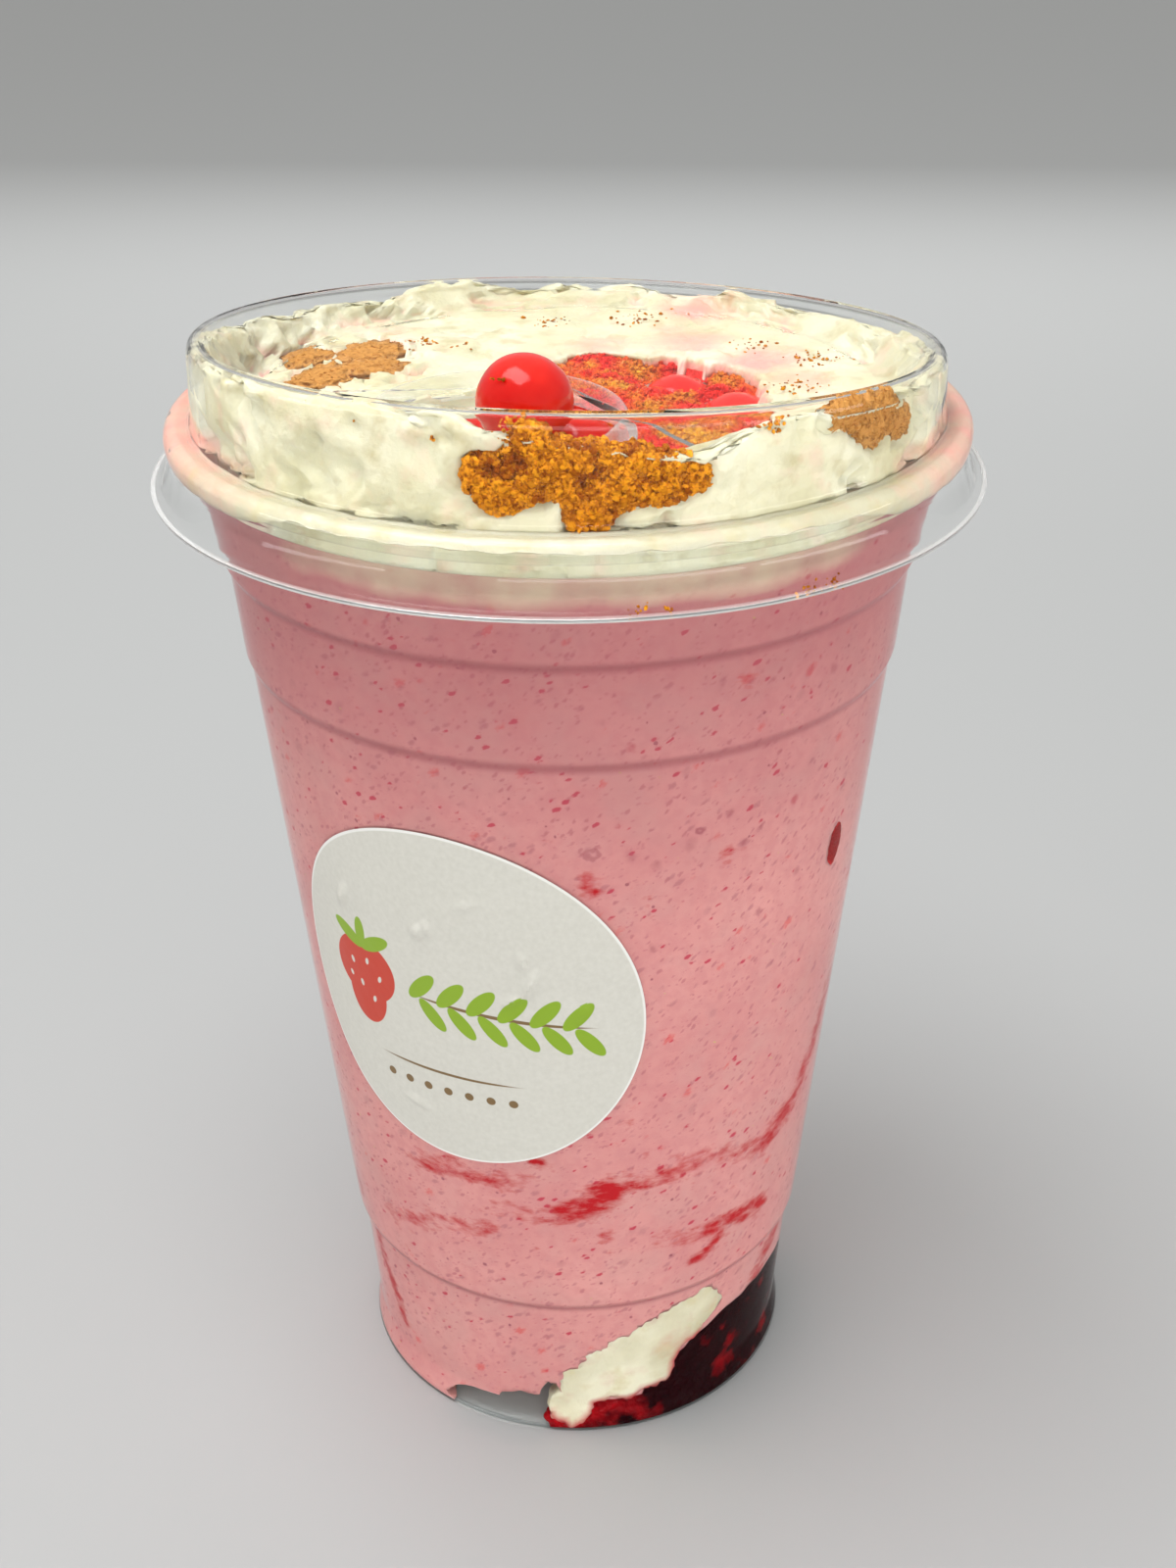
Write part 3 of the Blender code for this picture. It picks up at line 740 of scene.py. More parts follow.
def beside(profile, distance):
    """The profile moved to its right by a distance, its first point along the axis only."""
    moved = []
    for index, (radius, height) in enumerate(profile):
        before = Vector(profile[max(index - 1, 0)])
        after = Vector(profile[min(index + 1, len(profile) - 1)])
        here = Vector((radius, height))
        into = (here - before).normalized() if index else (after - here).normalized()
        out = (after - here).normalized() if index < len(profile) - 1 else into
        normal = (Vector((into.y, -into.x)) + Vector((out.y, -out.x))).normalized()
        stretch = 1 / max(normal.dot(Vector((out.y, -out.x))), 0.7)
        moved.append(tuple(here + normal * distance * stretch))
    moved[0] = (0, moved[0][1])
    return moved


def rise(point):
    """How far the slant of the crest lifts a point of the level lid, in metres."""
    low, high = LID_FLOOR * MM, (CREST_HEIGHT - 1.5) * MM
    lift = held((point.z - low) / (high - low)) * CREST_SLANT * MM
    return lift * math.cos(math.atan2(point.x, -point.y) - DRINKING_SIDE)


def slanted(piece):
    for vert in piece.data.vertices:
        vert.co.z += rise(vert.co)


def out_in_oval(spot, centre, half):
    """How far out a spot lies in an oval: 0 in its middle and 1 on its edge."""
    return math.hypot((spot.x - centre[0]) / half[0], (spot.y - centre[1]) / half[1])


def oval(bm, grow, height, spokes=96):
    """A ring of edges round the sip opening."""
    ring = bmesh.ops.create_circle(bm, segments=spokes, radius=1.0)["verts"]
    size = Matrix.Diagonal(((SIP_HALF[0] + grow) * MM, (SIP_HALF[1] + grow) * MM, 1, 1))
    place = Matrix.Translation((SIP_CENTRE[0] * MM, SIP_CENTRE[1] * MM, height * MM))
    bmesh.ops.transform(bm, matrix=place @ size, verts=ring)
    return list({edge for vert in ring for edge in vert.link_edges})


def collar_film():
    """The collar's plastic, too thin to bend light, and bright where it is seen edge on."""
    made, tree = new_finish("collar_plastic", Base_Color=(0.93, 0.94, 0.93), Roughness=0.12)
    through = added(tree, "ShaderNodeBsdfTransparent", Color=(0.97, 0.975, 0.97))
    turned_away = added(tree, "ShaderNodeLayerWeight", Blend=0.3).outputs["Facing"]
    edge_on = ranged(tree, turned_away, 0.25, 1.0, 0.7, 0.06)
    surfaced(tree, edge_on, through, tree.nodes["Principled BSDF"])
    return made


def collar_ring(bm, profile):
    rings = [oval(bm, grow, height) for grow, height in profile]
    for lower, upper in zip(rings, rings[1:] + rings[:1]):
        bmesh.ops.bridge_loops(bm, edges=lower + upper)


top = eased(lid_skin(), 0.8)
lid_plastic = clear_plastic("lid_plastic", 0.25, 1.2)
lid = turned("lid_shell", top + beside(top, LID_WALL)[::-1], LID_SPOKES, lid_plastic)
slanted(lid)
bm = bmesh.new()
lower, upper = oval(bm, 0, LID_FLOOR - 3), oval(bm, 0, LID_FLOOR + 3)
bmesh.ops.bridge_loops(bm, edges=lower + upper)
bmesh.ops.contextual_create(bm, geom=lower)
bmesh.ops.contextual_create(bm, geom=upper)
combine(lid, finished(bm, "sip_hole"), "DIFFERENCE")
bm = bmesh.new()
under = LID_FLOOR - LID_WALL
collar_ring(bm, (
    (-0.2, under), (0.6, under - 0.05), (1.9, under + 0.1), (2.0, LID_FLOOR + 0.1),
    (1.6, LID_FLOOR + 0.4), (1.1, COLLAR_TOP - 0.9), (0.95, COLLAR_TOP - 0.35),
    (0.7, COLLAR_TOP - 0.05), (0.4, COLLAR_TOP), (0.1, COLLAR_TOP - 0.1), (-0.1, COLLAR_TOP - 0.4),
))
combine(lid, finished(bm, "collar"), "UNION")
lid.data.shade_smooth()
lid.data.set_sharp_from_angle(angle=math.radians(50))
lid.data.materials.append(clear_plastic("cut_edge", 0.0, 1.26, clearness=0.75, haze=0.2))
lid.data.materials.append(collar_film())
lid.data.materials.append(clear_plastic("floor_plastic", 0.1, 1.06))
for face in lid.data.polygons:
    spot = face.center / MM
    if math.hypot(spot.x, spot.y) > FLANGE_RADIUS - 0.45:
        face.material_index = 1
    elif out_in_oval(spot, SIP_CENTRE, SIP_HALF) < 1.17 and spot.z > LID_FLOOR - 1:
        face.material_index = 2
    elif math.hypot(spot.x, spot.y) < FLOOR_RADIUS - 1:
        face.material_index = 3
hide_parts("lid")
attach(lid, "root")

# ---- Red pearls -----------------------------------------------------------------------
# Juice pearls in a thin glossy skin. One stands in the sip opening, the rest lie in the
# crumbs under the lid.
TOP_PEARL = (-5.1, -18.5, 148.5, 5.7)
OTHER_PEARLS = (
    (-10.4, -9.6, 138.9), (0.6, -11.0, 139.8), (-2.5, -27.1, 141.6), (14.0, 8.4, 138.1),
    (21.2, 0.4, 138.1), (3.2, 5.3, 138.1), (-7.8, 4.0, 138.1), (13.0, -21.0, 138.1),
    (-11.0, -21.5, 138.1),
)
PEARL_RADIUS = 5.3


def pearl_finish():
    """A thin glossy skin over red juice."""
    made, tree = new_finish(
        "pearl_skin", Roughness=0.16, IOR=1.45, Coat_Weight=0.2, Coat_Roughness=0.06,
        Specular_IOR_Level=0.3, Subsurface_Weight=0.5, Subsurface_Scale=0.004,
        Subsurface_Radius=(1.0, 0.15, 0.08),
    )
    place = place_in(tree)
    cloud = masked_noise(tree, place, 170, 2, 0.35, 0.68)
    shaded(tree, Base_Color=blended(tree, cloud, (0.74, 0.004, 0.002), (0.88, 0.022, 0.012)))
    bumped(tree, masked_noise(tree, place, 900, 2, 0.3, 0.7), 0.0001, 0.25)
    return made


pearl_skin = pearl_finish()
pearls = [TOP_PEARL] + [(*place, PEARL_RADIUS) for place in OTHER_PEARLS]
for index, (*place, radius) in enumerate(pearls):
    bm = bmesh.new()
    bmesh.ops.create_icosphere(bm, subdivisions=5, radius=radius * MM)
    for vert in bm.verts:
        way = vert.co.normalized()
        vert.co *= 1 + 0.015 * noise.noise(way * 1.6 + Vector((index * 2.1, 0, 4)))
        vert.co.z *= 0.97
    bmesh.ops.translate(bm, vec=Vector(place) * MM, verts=bm.verts)
    pearl = finished(bm, f"red_pearl_{index + 1:02d}", pearl_skin)
    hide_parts(f"pearl_{index + 1:02d}")
    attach(pearl, "root")

# ---- Biscuit crumbs -------------------------------------------------------------------
# Crushed caramel biscuit: a bed under the sip opening, a heap pressed against the drinking
# side of the lid and two patches. Each is a packed core covered with single grains.
BED_CENTRE = (2.0, -8.6)
BED_RADIUS = 27.0
BED_TOP = 143.4
DEEPEST_PIT = 1.2
DEEPEST_DIP = 2.2  # of the bed, round the pearls that show
CORE_BAKE = 0.35  # how pale a packed core is, between brown and gold
POINTS_TO_BEAD = 1 + 8 * 5  # of the lid's skin: its middle, and five for each eased corner
CRUMB_GROUPS = {
    "crumb_heap": (0.25, (
        (-11.0, 44.4, 148.4, (2.6, 2.6, 2.6)),
        (-9.0, 44.4, 147.0, (3.0, 2.6, 2.8)),
        (-5.4, 44.4, 151.0, (2.6, 2.6, 2.9)),
        (-4.0, 44.4, 148.6, (3.6, 2.8, 2.6)),
        (-1.2, 44.4, 149.2, (3.2, 2.8, 3.2)),
        (2.4, 44.4, 148.6, (3.6, 2.8, 3.4)),
        (2.8, 44.4, 145.2, (3.2, 2.6, 3.2)),
        (7.5, 44.4, 148.2, (4.2, 2.8, 3.2)),
        (11.5, 44.4, 147.8, (4.4, 2.6, 2.8)),
        (16.2, 44.6, 147.6, (2.4, 2.2, 1.5)),
    )),
    "crumb_patch_right": (0.25, (
        (42, 44.4, 151.4, (3.6, 2.6, 2.0)),
        (48, 44.4, 149.8, (4.2, 2.6, 3.0)),
        (54, 44.4, 148.4, (2.4, 2.6, 2.2)),
    )),
    "crumb_patch_left": (0.25, (
        (245, 38.0, 143.0, (5.5, 3.4, 1.6)),
        (258, 32.0, 143.0, (6.5, 4.5, 1.7)),
        (234, 32.2, 143.0, (6.0, 4.6, 1.7)),
        (245, 27.5, 143.0, (5.0, 4.6, 1.6)),
    )),
}


def crumb_finish(name, roughness, brown, gold, deep, stain=None):
    """Baked biscuit, with painted shade in its pits; wet crumbs are stained by the juice."""
    made, tree = new_finish(name, Roughness=roughness, Specular_IOR_Level=0.2)
    place = place_in(tree)
    # Painted shade: the pits of the fine bump are darkened to the deep colour.
    pits = masked_noise(tree, place, 1800, 3, 0.3, 0.5)
    # The stored tone mixes each grain's bake with painted shade where the heap's pits lie.
    colour = blended(tree, pits, deep, blended(tree, stored_value(tree, "bake_and_shade"), brown, gold))
    if stain:
        colour = blended(tree, stored_value(tree, "juice"), colour, stain)
    shaded(tree, Base_Color=colour)
    bumped(tree, pits, 0.0002, 0.8)
    return made


def grain_piece(name, spots, sizes, chance, finish):
    """Many small broken grains, one at each spot, darker by painted shade in the hollows, joined into
    one piece.
    """
    count = len(spots)
    size = (sizes[0] + (sizes[1] - sizes[0]) * chance.random(count) ** 2) * MM / 2
    bm = bmesh.new()
    bmesh.ops.create_icosphere(bm, subdivisions=1, radius=1.0)
    unit = np.array([vert.co[:] for vert in bm.verts])
    facets = np.array([[vert.index for vert in face.verts] for face in bm.faces])
    bm.free()
    stretch = chance.uniform(0.6, 1.25, (count, 1, 3))
    jag = chance.uniform(0.75, 1.2, (count, len(unit), 1))
    turns, _ = np.linalg.qr(chance.normal(size=(count, 3, 3)))
    turns *= np.sign(np.linalg.det(turns))[:, None, None]
    points = np.einsum("nij,nkj->nki", turns, unit[None] * stretch * jag) * size[:, None, None]
    points = (points + spots[:, None]).reshape(-1, 3)
    faces = (facets[None] + (np.arange(count) * len(unit))[:, None, None]).reshape(-1, 3)
    strewn = bpy.data.meshes.new(name)
    strewn.from_pydata(points.tolist(), [], faces.tolist())
    # Painted shade: grains are darkened where the noise that digs the heap's pits runs high; the rest of
    # their tone varies at random.
    hollows = np.array([max(noise.noise(Vector(spot) / MM * 0.5), 0) for spot in spots])
    tone = np.clip(0.3 + 0.8 * chance.random(count) - 1.5 * hollows, 0, 1)
    bake_and_shade = strewn.attributes.new("bake_and_shade", "FLOAT", "POINT")
    bake_and_shade.data.foreach_set("value", np.repeat(tone, len(unit)).astype(np.float32))
    strewn.materials.append(finish)
    piece = linked(name, strewn)
    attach(piece, "root")
    return piece


def facets_of(mesh):
    """The corners of the mesh's triangles, in an order that is the same in every run."""
    mesh.calc_loop_triangles()
    corners = np.array([[mesh.vertices[i].co[:] for i in tri.vertices] for tri in mesh.loop_triangles])
    first = np.array([min((0, 1, 2), key=lambda i: tuple(facet[i])) for facet in corners])
    corners = corners[np.arange(len(corners))[:, None], (first[:, None] + np.arange(3)) % 3]
    return corners[np.lexsort(corners.mean(axis=1).T)]


def grains_over(name, core, count, sizes, seed, finish, keep=None):
    """Grains strewn over the skin of a core, which gets the same finish."""
    chance = np.random.default_rng(seed)
    mesh = core.data
    corners = facets_of(mesh)
    facing = np.cross(corners[:, 1] - corners[:, 0], corners[:, 2] - corners[:, 0])
    area = np.linalg.norm(facing, axis=1)
    facing /= np.maximum(area, 1e-15)[:, None]
    if keep:
        middles = corners.mean(axis=1)
        area = area * [keep(Vector(middle), Vector(way)) for middle, way in zip(middles, facing)]
    picked = chance.choice(len(corners), count, p=area / area.sum())
    u, v = chance.random((2, count))
    flip = u + v > 1
    u[flip], v[flip] = 1 - u[flip], 1 - v[flip]
    spots = corners[picked, 0] + u[:, None] * (corners[picked, 1] - corners[picked, 0])
    spots += v[:, None] * (corners[picked, 2] - corners[picked, 0])
    spots += facing[picked] * (sizes[0] * MM * chance.uniform(-0.4, 0.5, count))[:, None]
    bake_and_shade = mesh.attributes.new("bake_and_shade", "FLOAT", "POINT")
    bake_and_shade.data.foreach_set("value", np.full(len(mesh.vertices), CORE_BAKE))
    mesh.materials.append(finish)
    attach(core, "root")
    return grain_piece(name, spots, sizes, chance, finish)


def lid_room(name, spokes, stride):
    """The room under the lid, reaching just into its skin, down to the smoothie."""
    under_skin = beside(eased(lid_skin(), 0.8), LID_WALL - INTO_WALL)[:POINTS_TO_BEAD]
    throat = CUP_WALL - INTO_WALL
    edge = CREAM_BASE_HEIGHT[1]
    profile = divided(under_skin + [
        (45.6, 141.2),
        (FLARE[1][0] - throat, FLARE[1][1]),
        (wall_radius(edge, throat), edge),
    ], stride)
    space = turned(name, profile + cream_well(), spokes)
    slanted(space)
    return space


@contextmanager
def opened(piece):
    """The piece's mesh, opened for editing and put back."""
    bm = bmesh.new()
    bm.from_mesh(piece.data)
    yield bm
    bm.to_mesh(piece.data)
    bm.free()
    piece.data.update()


def crumbled(bm):
    """Break the outer skin of a packed core up into pits between small lumps."""
    for _ in range(4):
        bmesh.ops.triangulate(bm, faces=bm.faces)
        wide = [edge for edge in bm.edges if edge.calc_length() > 0.7 * MM]
        bmesh.ops.subdivide_edges(bm, edges=wide, cuts=1)
    bmesh.ops.triangulate(bm, faces=bm.faces)
    bm.normal_update()
    moves = []
    for vert in bm.verts:
        spot = vert.co / MM
        pit = 1.9 * noise.noise(spot * 0.5) + 1.3 * noise.noise(spot * 1.1 + Vector((4, 0, 1)))
        facing = max(vert.normal.dot(Vector((spot.x, spot.y, 0)).normalized()), 0)
        moves.append(vert.normal * (min(max(pit, 0), DEEPEST_PIT) * facing * MM))
    for vert, move in zip(bm.verts, moves):
        vert.co -= move


dry_crumb = crumb_finish(
    "dry_crumb", 0.8, (0.30, 0.068, 0.001), (0.84, 0.34, 0.012), (0.26, 0.05, 0.001)
)
pressed_crumb = crumb_finish(
    "pressed_crumb", 0.6, (0.50, 0.21, 0.04), (0.65, 0.34, 0.09), (0.43, 0.16, 0.022)
)
wet_crumb = crumb_finish(
    "wet_crumb", 0.4, (0.50, 0.15, 0.004), (0.78, 0.38, 0.02), (0.42, 0.10, 0.004),
    (0.70, 0.014, 0.007),
)
room = lid_room("room", 96, 2.0)
crumb_shapes = []
for name, chain in CRUMB_GROUPS.items():
    heap = name == "crumb_heap"
    core = lumps(name + "_core", chain, 4, 0.16 if heap else 0.3)
    combine(core, room, "INTERSECT", keep_tool=True)
    facets = facets_of(core.data)
    corner_numbers = np.arange(facets.size // 3).reshape(-1, 3)
    crumb_shapes.append(BVHTree.FromPolygons(facets.reshape(-1, 3).tolist(), corner_numbers.tolist()))
    if heap:
        with opened(core) as bm:
            crumbled(bm)
    strewn = grains_over(
        name + "_grains", core, 9500 if heap else 1500, (0.3, 1.15) if heap else (0.2, 0.5), len(name),
        dry_crumb if heap else pressed_crumb,
    )
    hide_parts(name)
    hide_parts(name)
bpy.data.objects.remove(room)

SHOWN_PEARLS = OTHER_PEARLS[1:5]  # the pearls that the crumbs leave bare


def bed_shape(name, grow):
    """The bed of crumbs with a wandering edge; grown, it is the hollow that it lies in."""
    foot = CREAM_BASE_HEIGHT[0] - 20 * grow
    side = BED_RADIUS + grow
    profile = [
        (0, foot), (BED_RADIUS - 3 + grow, foot), (side, 135), (side, 140.5),
        (BED_RADIUS - 1.6 + grow, BED_TOP + grow), (0, BED_TOP + grow),
    ]
    bed = turned(name, divided(profile, 0.7), 150)
    for vert in bed.data.vertices:
        out = Vector((-vert.co.y, vert.co.x, 0))
        wander = waves(out.normalized(), (0.05, 2.2), (0.04, 6))
        wander = 1 + wander * out.length / (BED_RADIUS * MM)
        vert.co.x *= wander
        vert.co.y *= wander
        if vert.co.z > (BED_TOP - 0.1) * MM:
            spot = Vector((vert.co.x, vert.co.y, 0)) / MM
            vert.co.z += waves(spot, (0.7, 0.22), (0.5, 0.6)) * MM
            middle = spot + Vector((*BED_CENTRE, 0))
            near = min(math.hypot(middle.x - x, middle.y - y) for x, y, _ in SHOWN_PEARLS)
            vert.co.z -= DEEPEST_DIP * math.exp(-((near / 6.0) ** 4)) * MM
        vert.co.x += BED_CENTRE[0] * MM
        vert.co.y += BED_CENTRE[1] * MM
    return bed


def juice_on_bed(spot):
    """Juice from the pearls: strongest round those that show."""
    x, y = spot.x / MM, spot.y / MM
    cloud = noise.noise(Vector((x * 0.16, y * 0.16, 5)))
    cloud += 0.5 * noise.noise(Vector((x * 0.5, y * 0.5, 2)))
    near = min(math.hypot(x - pearl[0], y - pearl[1]) for pearl in SHOWN_PEARLS)
    return held(0.45 + 1.2 * cloud + 0.7 * math.exp(-((near / 8) ** 2)))


def shows(spot, way):
    """Whether grains are seen on a facet of the bed."""
    return way.z > 0.5 and spot.z > 139.5 * MM and spot.x > -10 * MM


bed = bed_shape("crumb_bed_core", 0)
strewn = grains_over("crumb_bed_grains", bed, 9500, (0.35, 1.1), 11, wet_crumb, shows)
for piece in (bed, strewn):
    stored(piece, "juice", juice_on_bed)
    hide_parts("crumb_bed")

# Clusters of loose crumbs on the plastic, with their spread and count: those on the crest at an
# azimuth, radius and height, the others at a point.
CREST_CRUMBS = (
    ((-37.9, 45.4, 153.7), 0.5, 7), ((-29.8, 45.4, 154.0), 0.7, 12), ((-18.3, 45.4, 152.1), 0.3, 4),
    ((-23.5, 45.6, 147.4), 0.7, 9), ((-13.2, 45.4, 152.2), 0.6, 12), ((-9.5, 45.4, 151.3), 0.9, 18),
    ((28.3, 45.4, 152.3), 0.9, 26), ((28.6, 45.6, 148.1), 0.8, 24), ((19.4, 45.6, 147.5), 0.9, 12),
    ((26.5, 45.8, 143.4), 0.4, 5), ((-7.5, 45.0, 153.6), 0.7, 30), ((-6.3, 45.0, 154.6), 0.4, 12),
)
OTHER_CRUMBS = (
    ((-1.9, 31.7, 144.45), 1.0, 26), ((8.2, 32.4, 144.45), 1.5, 22), ((10.6, 31.8, 144.45), 1.3, 20),
    ((31.9, 11.7, 144.45), 1.6, 46), ((28.4, -0.4, 144.45), 1.3, 36), ((-19.6, 21.3, 144.45), 1.1, 26),
    ((16.9, 38.0, 144.45), 1.2, 18), ((-14.5, 20.0, 144.45), 0.8, 8), ((24.1, 18.0, 144.45), 1.5, 22),
    ((-8.2, -22.2, 152.2), 0.5, 12), ((25.6, -44.4, 135.3), 0.9, 14), ((28.4, -42.6, 135.3), 0.8, 16),
    ((6.9, -50.6, 135.5), 0.7, 8), ((11.0, -50.0, 135.3), 0.5, 4),
)
clusters = [(around(math.radians(side), *place), *rest) for (side, *place), *rest in CREST_CRUMBS]
clusters += [(Vector(place), *rest) for place, *rest in OTHER_CRUMBS]
chance = np.random.default_rng(5)
spots = []
for place, spread, count in clusters:
    squash = (1, 0.6, 0.8) if place.y < -30 else (1.3, 1.3, 0.1)
    for offset in chance.normal(0, spread, (count, 3)) * squash:
        spot = place + Vector(offset)
        if place.y < -30 or place.z > 145:
            back = math.hypot(place.x, place.y) / math.hypot(spot.x, spot.y)
            spot.x *= back
            spot.y *= back
        spots.append(spot * MM)
grain_piece("loose_crumbs", np.array([spot[:] for spot in spots]), (0.25, 0.7), chance, dry_crumb)

# ---- Whipped cream under the lid -------------------------------------------------------
# Cream piped over the smoothie and flattened by the lid as it was clipped on, so it lies
# against the plastic, with hollows where it doesn't touch. It stops short of the crest.
WINDOW_CENTRE = (8.6, -4.6)  # of the part of the bed of crumbs that the cream leaves open
WINDOW_HALF = (15.0, 19.6)
WINDOW_MIDDLE = 143.8
LIP_HEIGHT = 142.9  # above which the window's edge is smoothed
DEPTH_AT_CRUMBS = 2.4
FLOOR_SHARE = 0.35  # of the hollows under the lid's floor, where the cream is pressed flat
CREST_FOOT = 40.5  # radius beyond which the cream climbs the crest
FILM_HEM = 139.0
# Azimuth in degrees, and how far the cream lies below the inside of the crest there.
CREAM_SHORT_OF_CREST = (
    (-180, 0.4), (-172, 1.8), (-163, 0.2), (-155, 0.5), (-146, 2.2), (-120, 1.9), (-90, 1.5),
    (-60, 0.6), (-30, 0.3), (-16, 0.6), (-8, 2.4), (2, 3.6), (12, 4.8), (18, 4.4), (24, 2.8),
    (32, 1.6), (50, 1.0), (90, 1.5), (130, 1.8), (150, 0.5), (158, 2.0), (168, 0.2), (174, 1.6),
    (180, 0.4),
)
# Where pearls behind the cream tint it: place on the floor, reach and strength.
TINTS = (
    (25, 12, 5.0, 0.95), (16, 21.5, 5.0, 0.75), (4, 20.5, 4.0, 0.6), (18, 36.5, 5.0, 0.65),
    (29, 4, 3.5, 0.5), (-4, 11, 3.5, 0.35), (-24, 28, 4.0, 0.3),
)


def short_of_crest(azimuth):
    for (low, first), (high, last) in zip(CREAM_SHORT_OF_CREST, CREAM_SHORT_OF_CREST[1:]):
        if low <= azimuth <= high:
            return first + (last - first) * (azimuth - low) / (high - low)
    return 1.5


def cream_tint(spot):
    """Pink where fruit shows through: over the hidden pearls, and low at both sides."""
    x, y, z = spot / MM
    strength = 0.62 * held((abs(azimuth_of(spot)) - 42) / 30) * held((145.5 - z) / 2)
    if z > 143.5 and math.hypot(x, y) < 42:
        strength = 0.0
    for across, back, reach, most in TINTS:
        away = math.hypot(x - across, y - back) / reach
        strength = max(strength, most * math.exp(-away * away))
    return strength


def beside_crumbs(spot):
    """Whether crumbs take the cream's place at a spot, or almost."""
    for shape in crumb_shapes:
        near, way, _, away = shape.find_nearest(spot)
        if away < 0.5 * MM or (away < 3.2 * MM and (spot - near).dot(way) < 0):
            return True
    return False


def beside_window(spot):
    """Whether a spot is near the edge of the open part, under the lid's floor."""
    spot = spot / MM
    return 142.3 < spot.z < 144.6 and 0.7 < out_in_oval(spot, WINDOW_CENTRE, WINDOW_HALF) < 1.3


def hollow_depth(place):
    """How far the cream stands off the plastic at a place, in millimetres."""
    if beside_crumbs(place):
        return DEPTH_AT_CRUMBS
    spot = place / MM
    swirl = noise.noise(Vector((spot.x * 0.11, spot.y * 0.11, spot.z * 0.16)) + Vector((3, 1, 7)))
    swirl += waves(spot, (0.5, 0.35), (0.25, 0.9))
    depth = 0.8 + 1.6 * abs(noise.noise(spot * 0.25)) + waves(spot, (0.6, 0.9))
    depth *= held((swirl - 0.08) / 0.10)
    if math.hypot(spot.x, spot.y) < FLOOR_RADIUS - 0.4:
        depth *= FLOOR_SHARE
    opening = out_in_oval(spot, SIP_CENTRE, SIP_HALF)
    if opening < 1:
        depth = max(depth, (1 - opening) * 1.6 + 0.7 * noise.noise(spot * 0.3))
    return depth


cream = lid_room("whipped_top", 220, 0.7)
combine(cream, bed_shape("bed_hollow", 0.05), "DIFFERENCE")
bm = bmesh.new()
size = Matrix.Diagonal((WINDOW_HALF[0] * MM, WINDOW_HALF[1] * MM, 4 * MM, 1))
middle = [part * MM for part in (*WINDOW_CENTRE, WINDOW_MIDDLE)]
bmesh.ops.create_cone(
    bm, cap_ends=True, segments=160, radius1=0.97, radius2=1.03, depth=1,
    matrix=Matrix.Translation(middle) @ size,
)
for vert in bm.verts:
    spot = vert.co / MM
    spot.z = 0
    wander = 1 + waves(spot, (0.14, 0.10), (0.10, 0.35), (0.05, 0.9))
    turn = math.atan2(spot.y - WINDOW_CENTRE[1], spot.x - WINDOW_CENTRE[0])
    wander += 0.10 * abs(math.sin(2 * turn))
    for axis in (0, 1):
        vert.co[axis] = middle[axis] + (vert.co[axis] - middle[axis]) * wander
combine(cream, finished(bm, "window"), "DIFFERENCE")
with opened(cream) as bm:
    bmesh.ops.triangulate(bm, faces=bm.faces)
    wide = [edge for edge in bm.edges if edge.calc_length() > 1.2 * MM]
    wide = [edge for edge in wide if beside_window(edge.verts[0].co)]
    bmesh.ops.subdivide_edges(bm, edges=wide, cuts=2)
    bmesh.ops.triangulate(bm, faces=bm.faces)
    lip = [vert for vert in bm.verts if beside_window(vert.co) and vert.co.z > LIP_HEIGHT * MM]
    for _ in range(5):
        bmesh.ops.smooth_vert(
            bm, verts=lip, factor=0.5, use_axis_x=True, use_axis_y=True, use_axis_z=True
        )
outwards = [vert.normal.copy() for vert in cream.data.vertices]
for vert, way in zip(cream.data.vertices, outwards):
    spot = vert.co / MM
    reach = math.hypot(spot.x, spot.y)
    if vert.co.z < (CREAM_BASE_HEIGHT[1] + 0.5) * MM or (spot.z < LID_FLOOR - 0.4 and reach < 38):
        continue
    vert.co -= way * hollow_depth(vert.co) * MM
    if reach > CREST_FOOT:
        crest = Vector((vert.co.x, vert.co.y, (CREST_HEIGHT - 1.5) * MM))
        lumpy = waves(spot, (1.1, 0.22), (0.6, 0.6))
        top_height = CREST_HEIGHT - LID_WALL + rise(crest) / MM
        top_height -= short_of_crest(azimuth_of(spot)) + max(lumpy, -0.4)
        vert.co.z = min(vert.co.z, top_height * MM)

# The film of cream squeezed between the lid and the cup's rolled edge.
lid_side = [
    (46.65, 142.9), (47.1, 142.35), (48.4, 142.72), (49.25, 142.3), (49.7, 141.5), (49.62, 140.4),
    (49.25, 139.7),
]
roll_side = rolled(RIM_ROLL - 0.1, range(-35, 136, 17))
film = turned("rim_film", eased(lid_side, 0.3) + roll_side + lid_side[:1], 220)
for vert in film.data.vertices:
    spot = vert.co / MM
    inwards = around(math.atan2(spot.x, -spot.y), *RIM_CENTRE) - spot
    if inwards.length > RIM_ROLL + 0.1:
        vert.co += inwards.normalized() * held(0.1 + waves(spot, (1.6, 0.3))) * 0.25 * MM
    front = held((52 - abs(azimuth_of(spot))) / 14)
    hem = FILM_HEM + front * (2.6 + 0.5 * noise.noise(spot * 0.35 + Vector((9, 2, 0))))
    vert.co.z = max(vert.co.z, hem * MM)

drip = lumps("cream_drip", CREAM_DRIP, 4, 0.05)
combine(drip, drink_room("drip_room", 160, 1.0), "INTERSECT")
top_cream = cream_finish("top_cream", (0.82, 0.36, 0.31), (0.73, 0.70, 0.53), (0.60, 0.56, 0.36))
# Painted shade: the film in the rolled edge gets a darker copy of the cream's colours.
shaded_rim_cream = cream_finish("shaded_rim_cream", (0.74, 0.33, 0.28), (0.60, 0.57, 0.43), (0.52, 0.485, 0.34))
for piece in (cream, film, drip):
    stored(piece, "blush", cream_tint)
    piece.data.materials.append(shaded_rim_cream if piece is film else top_cream)
    piece.data.shade_smooth()
    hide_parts("cream_top")
    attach(piece, "root")

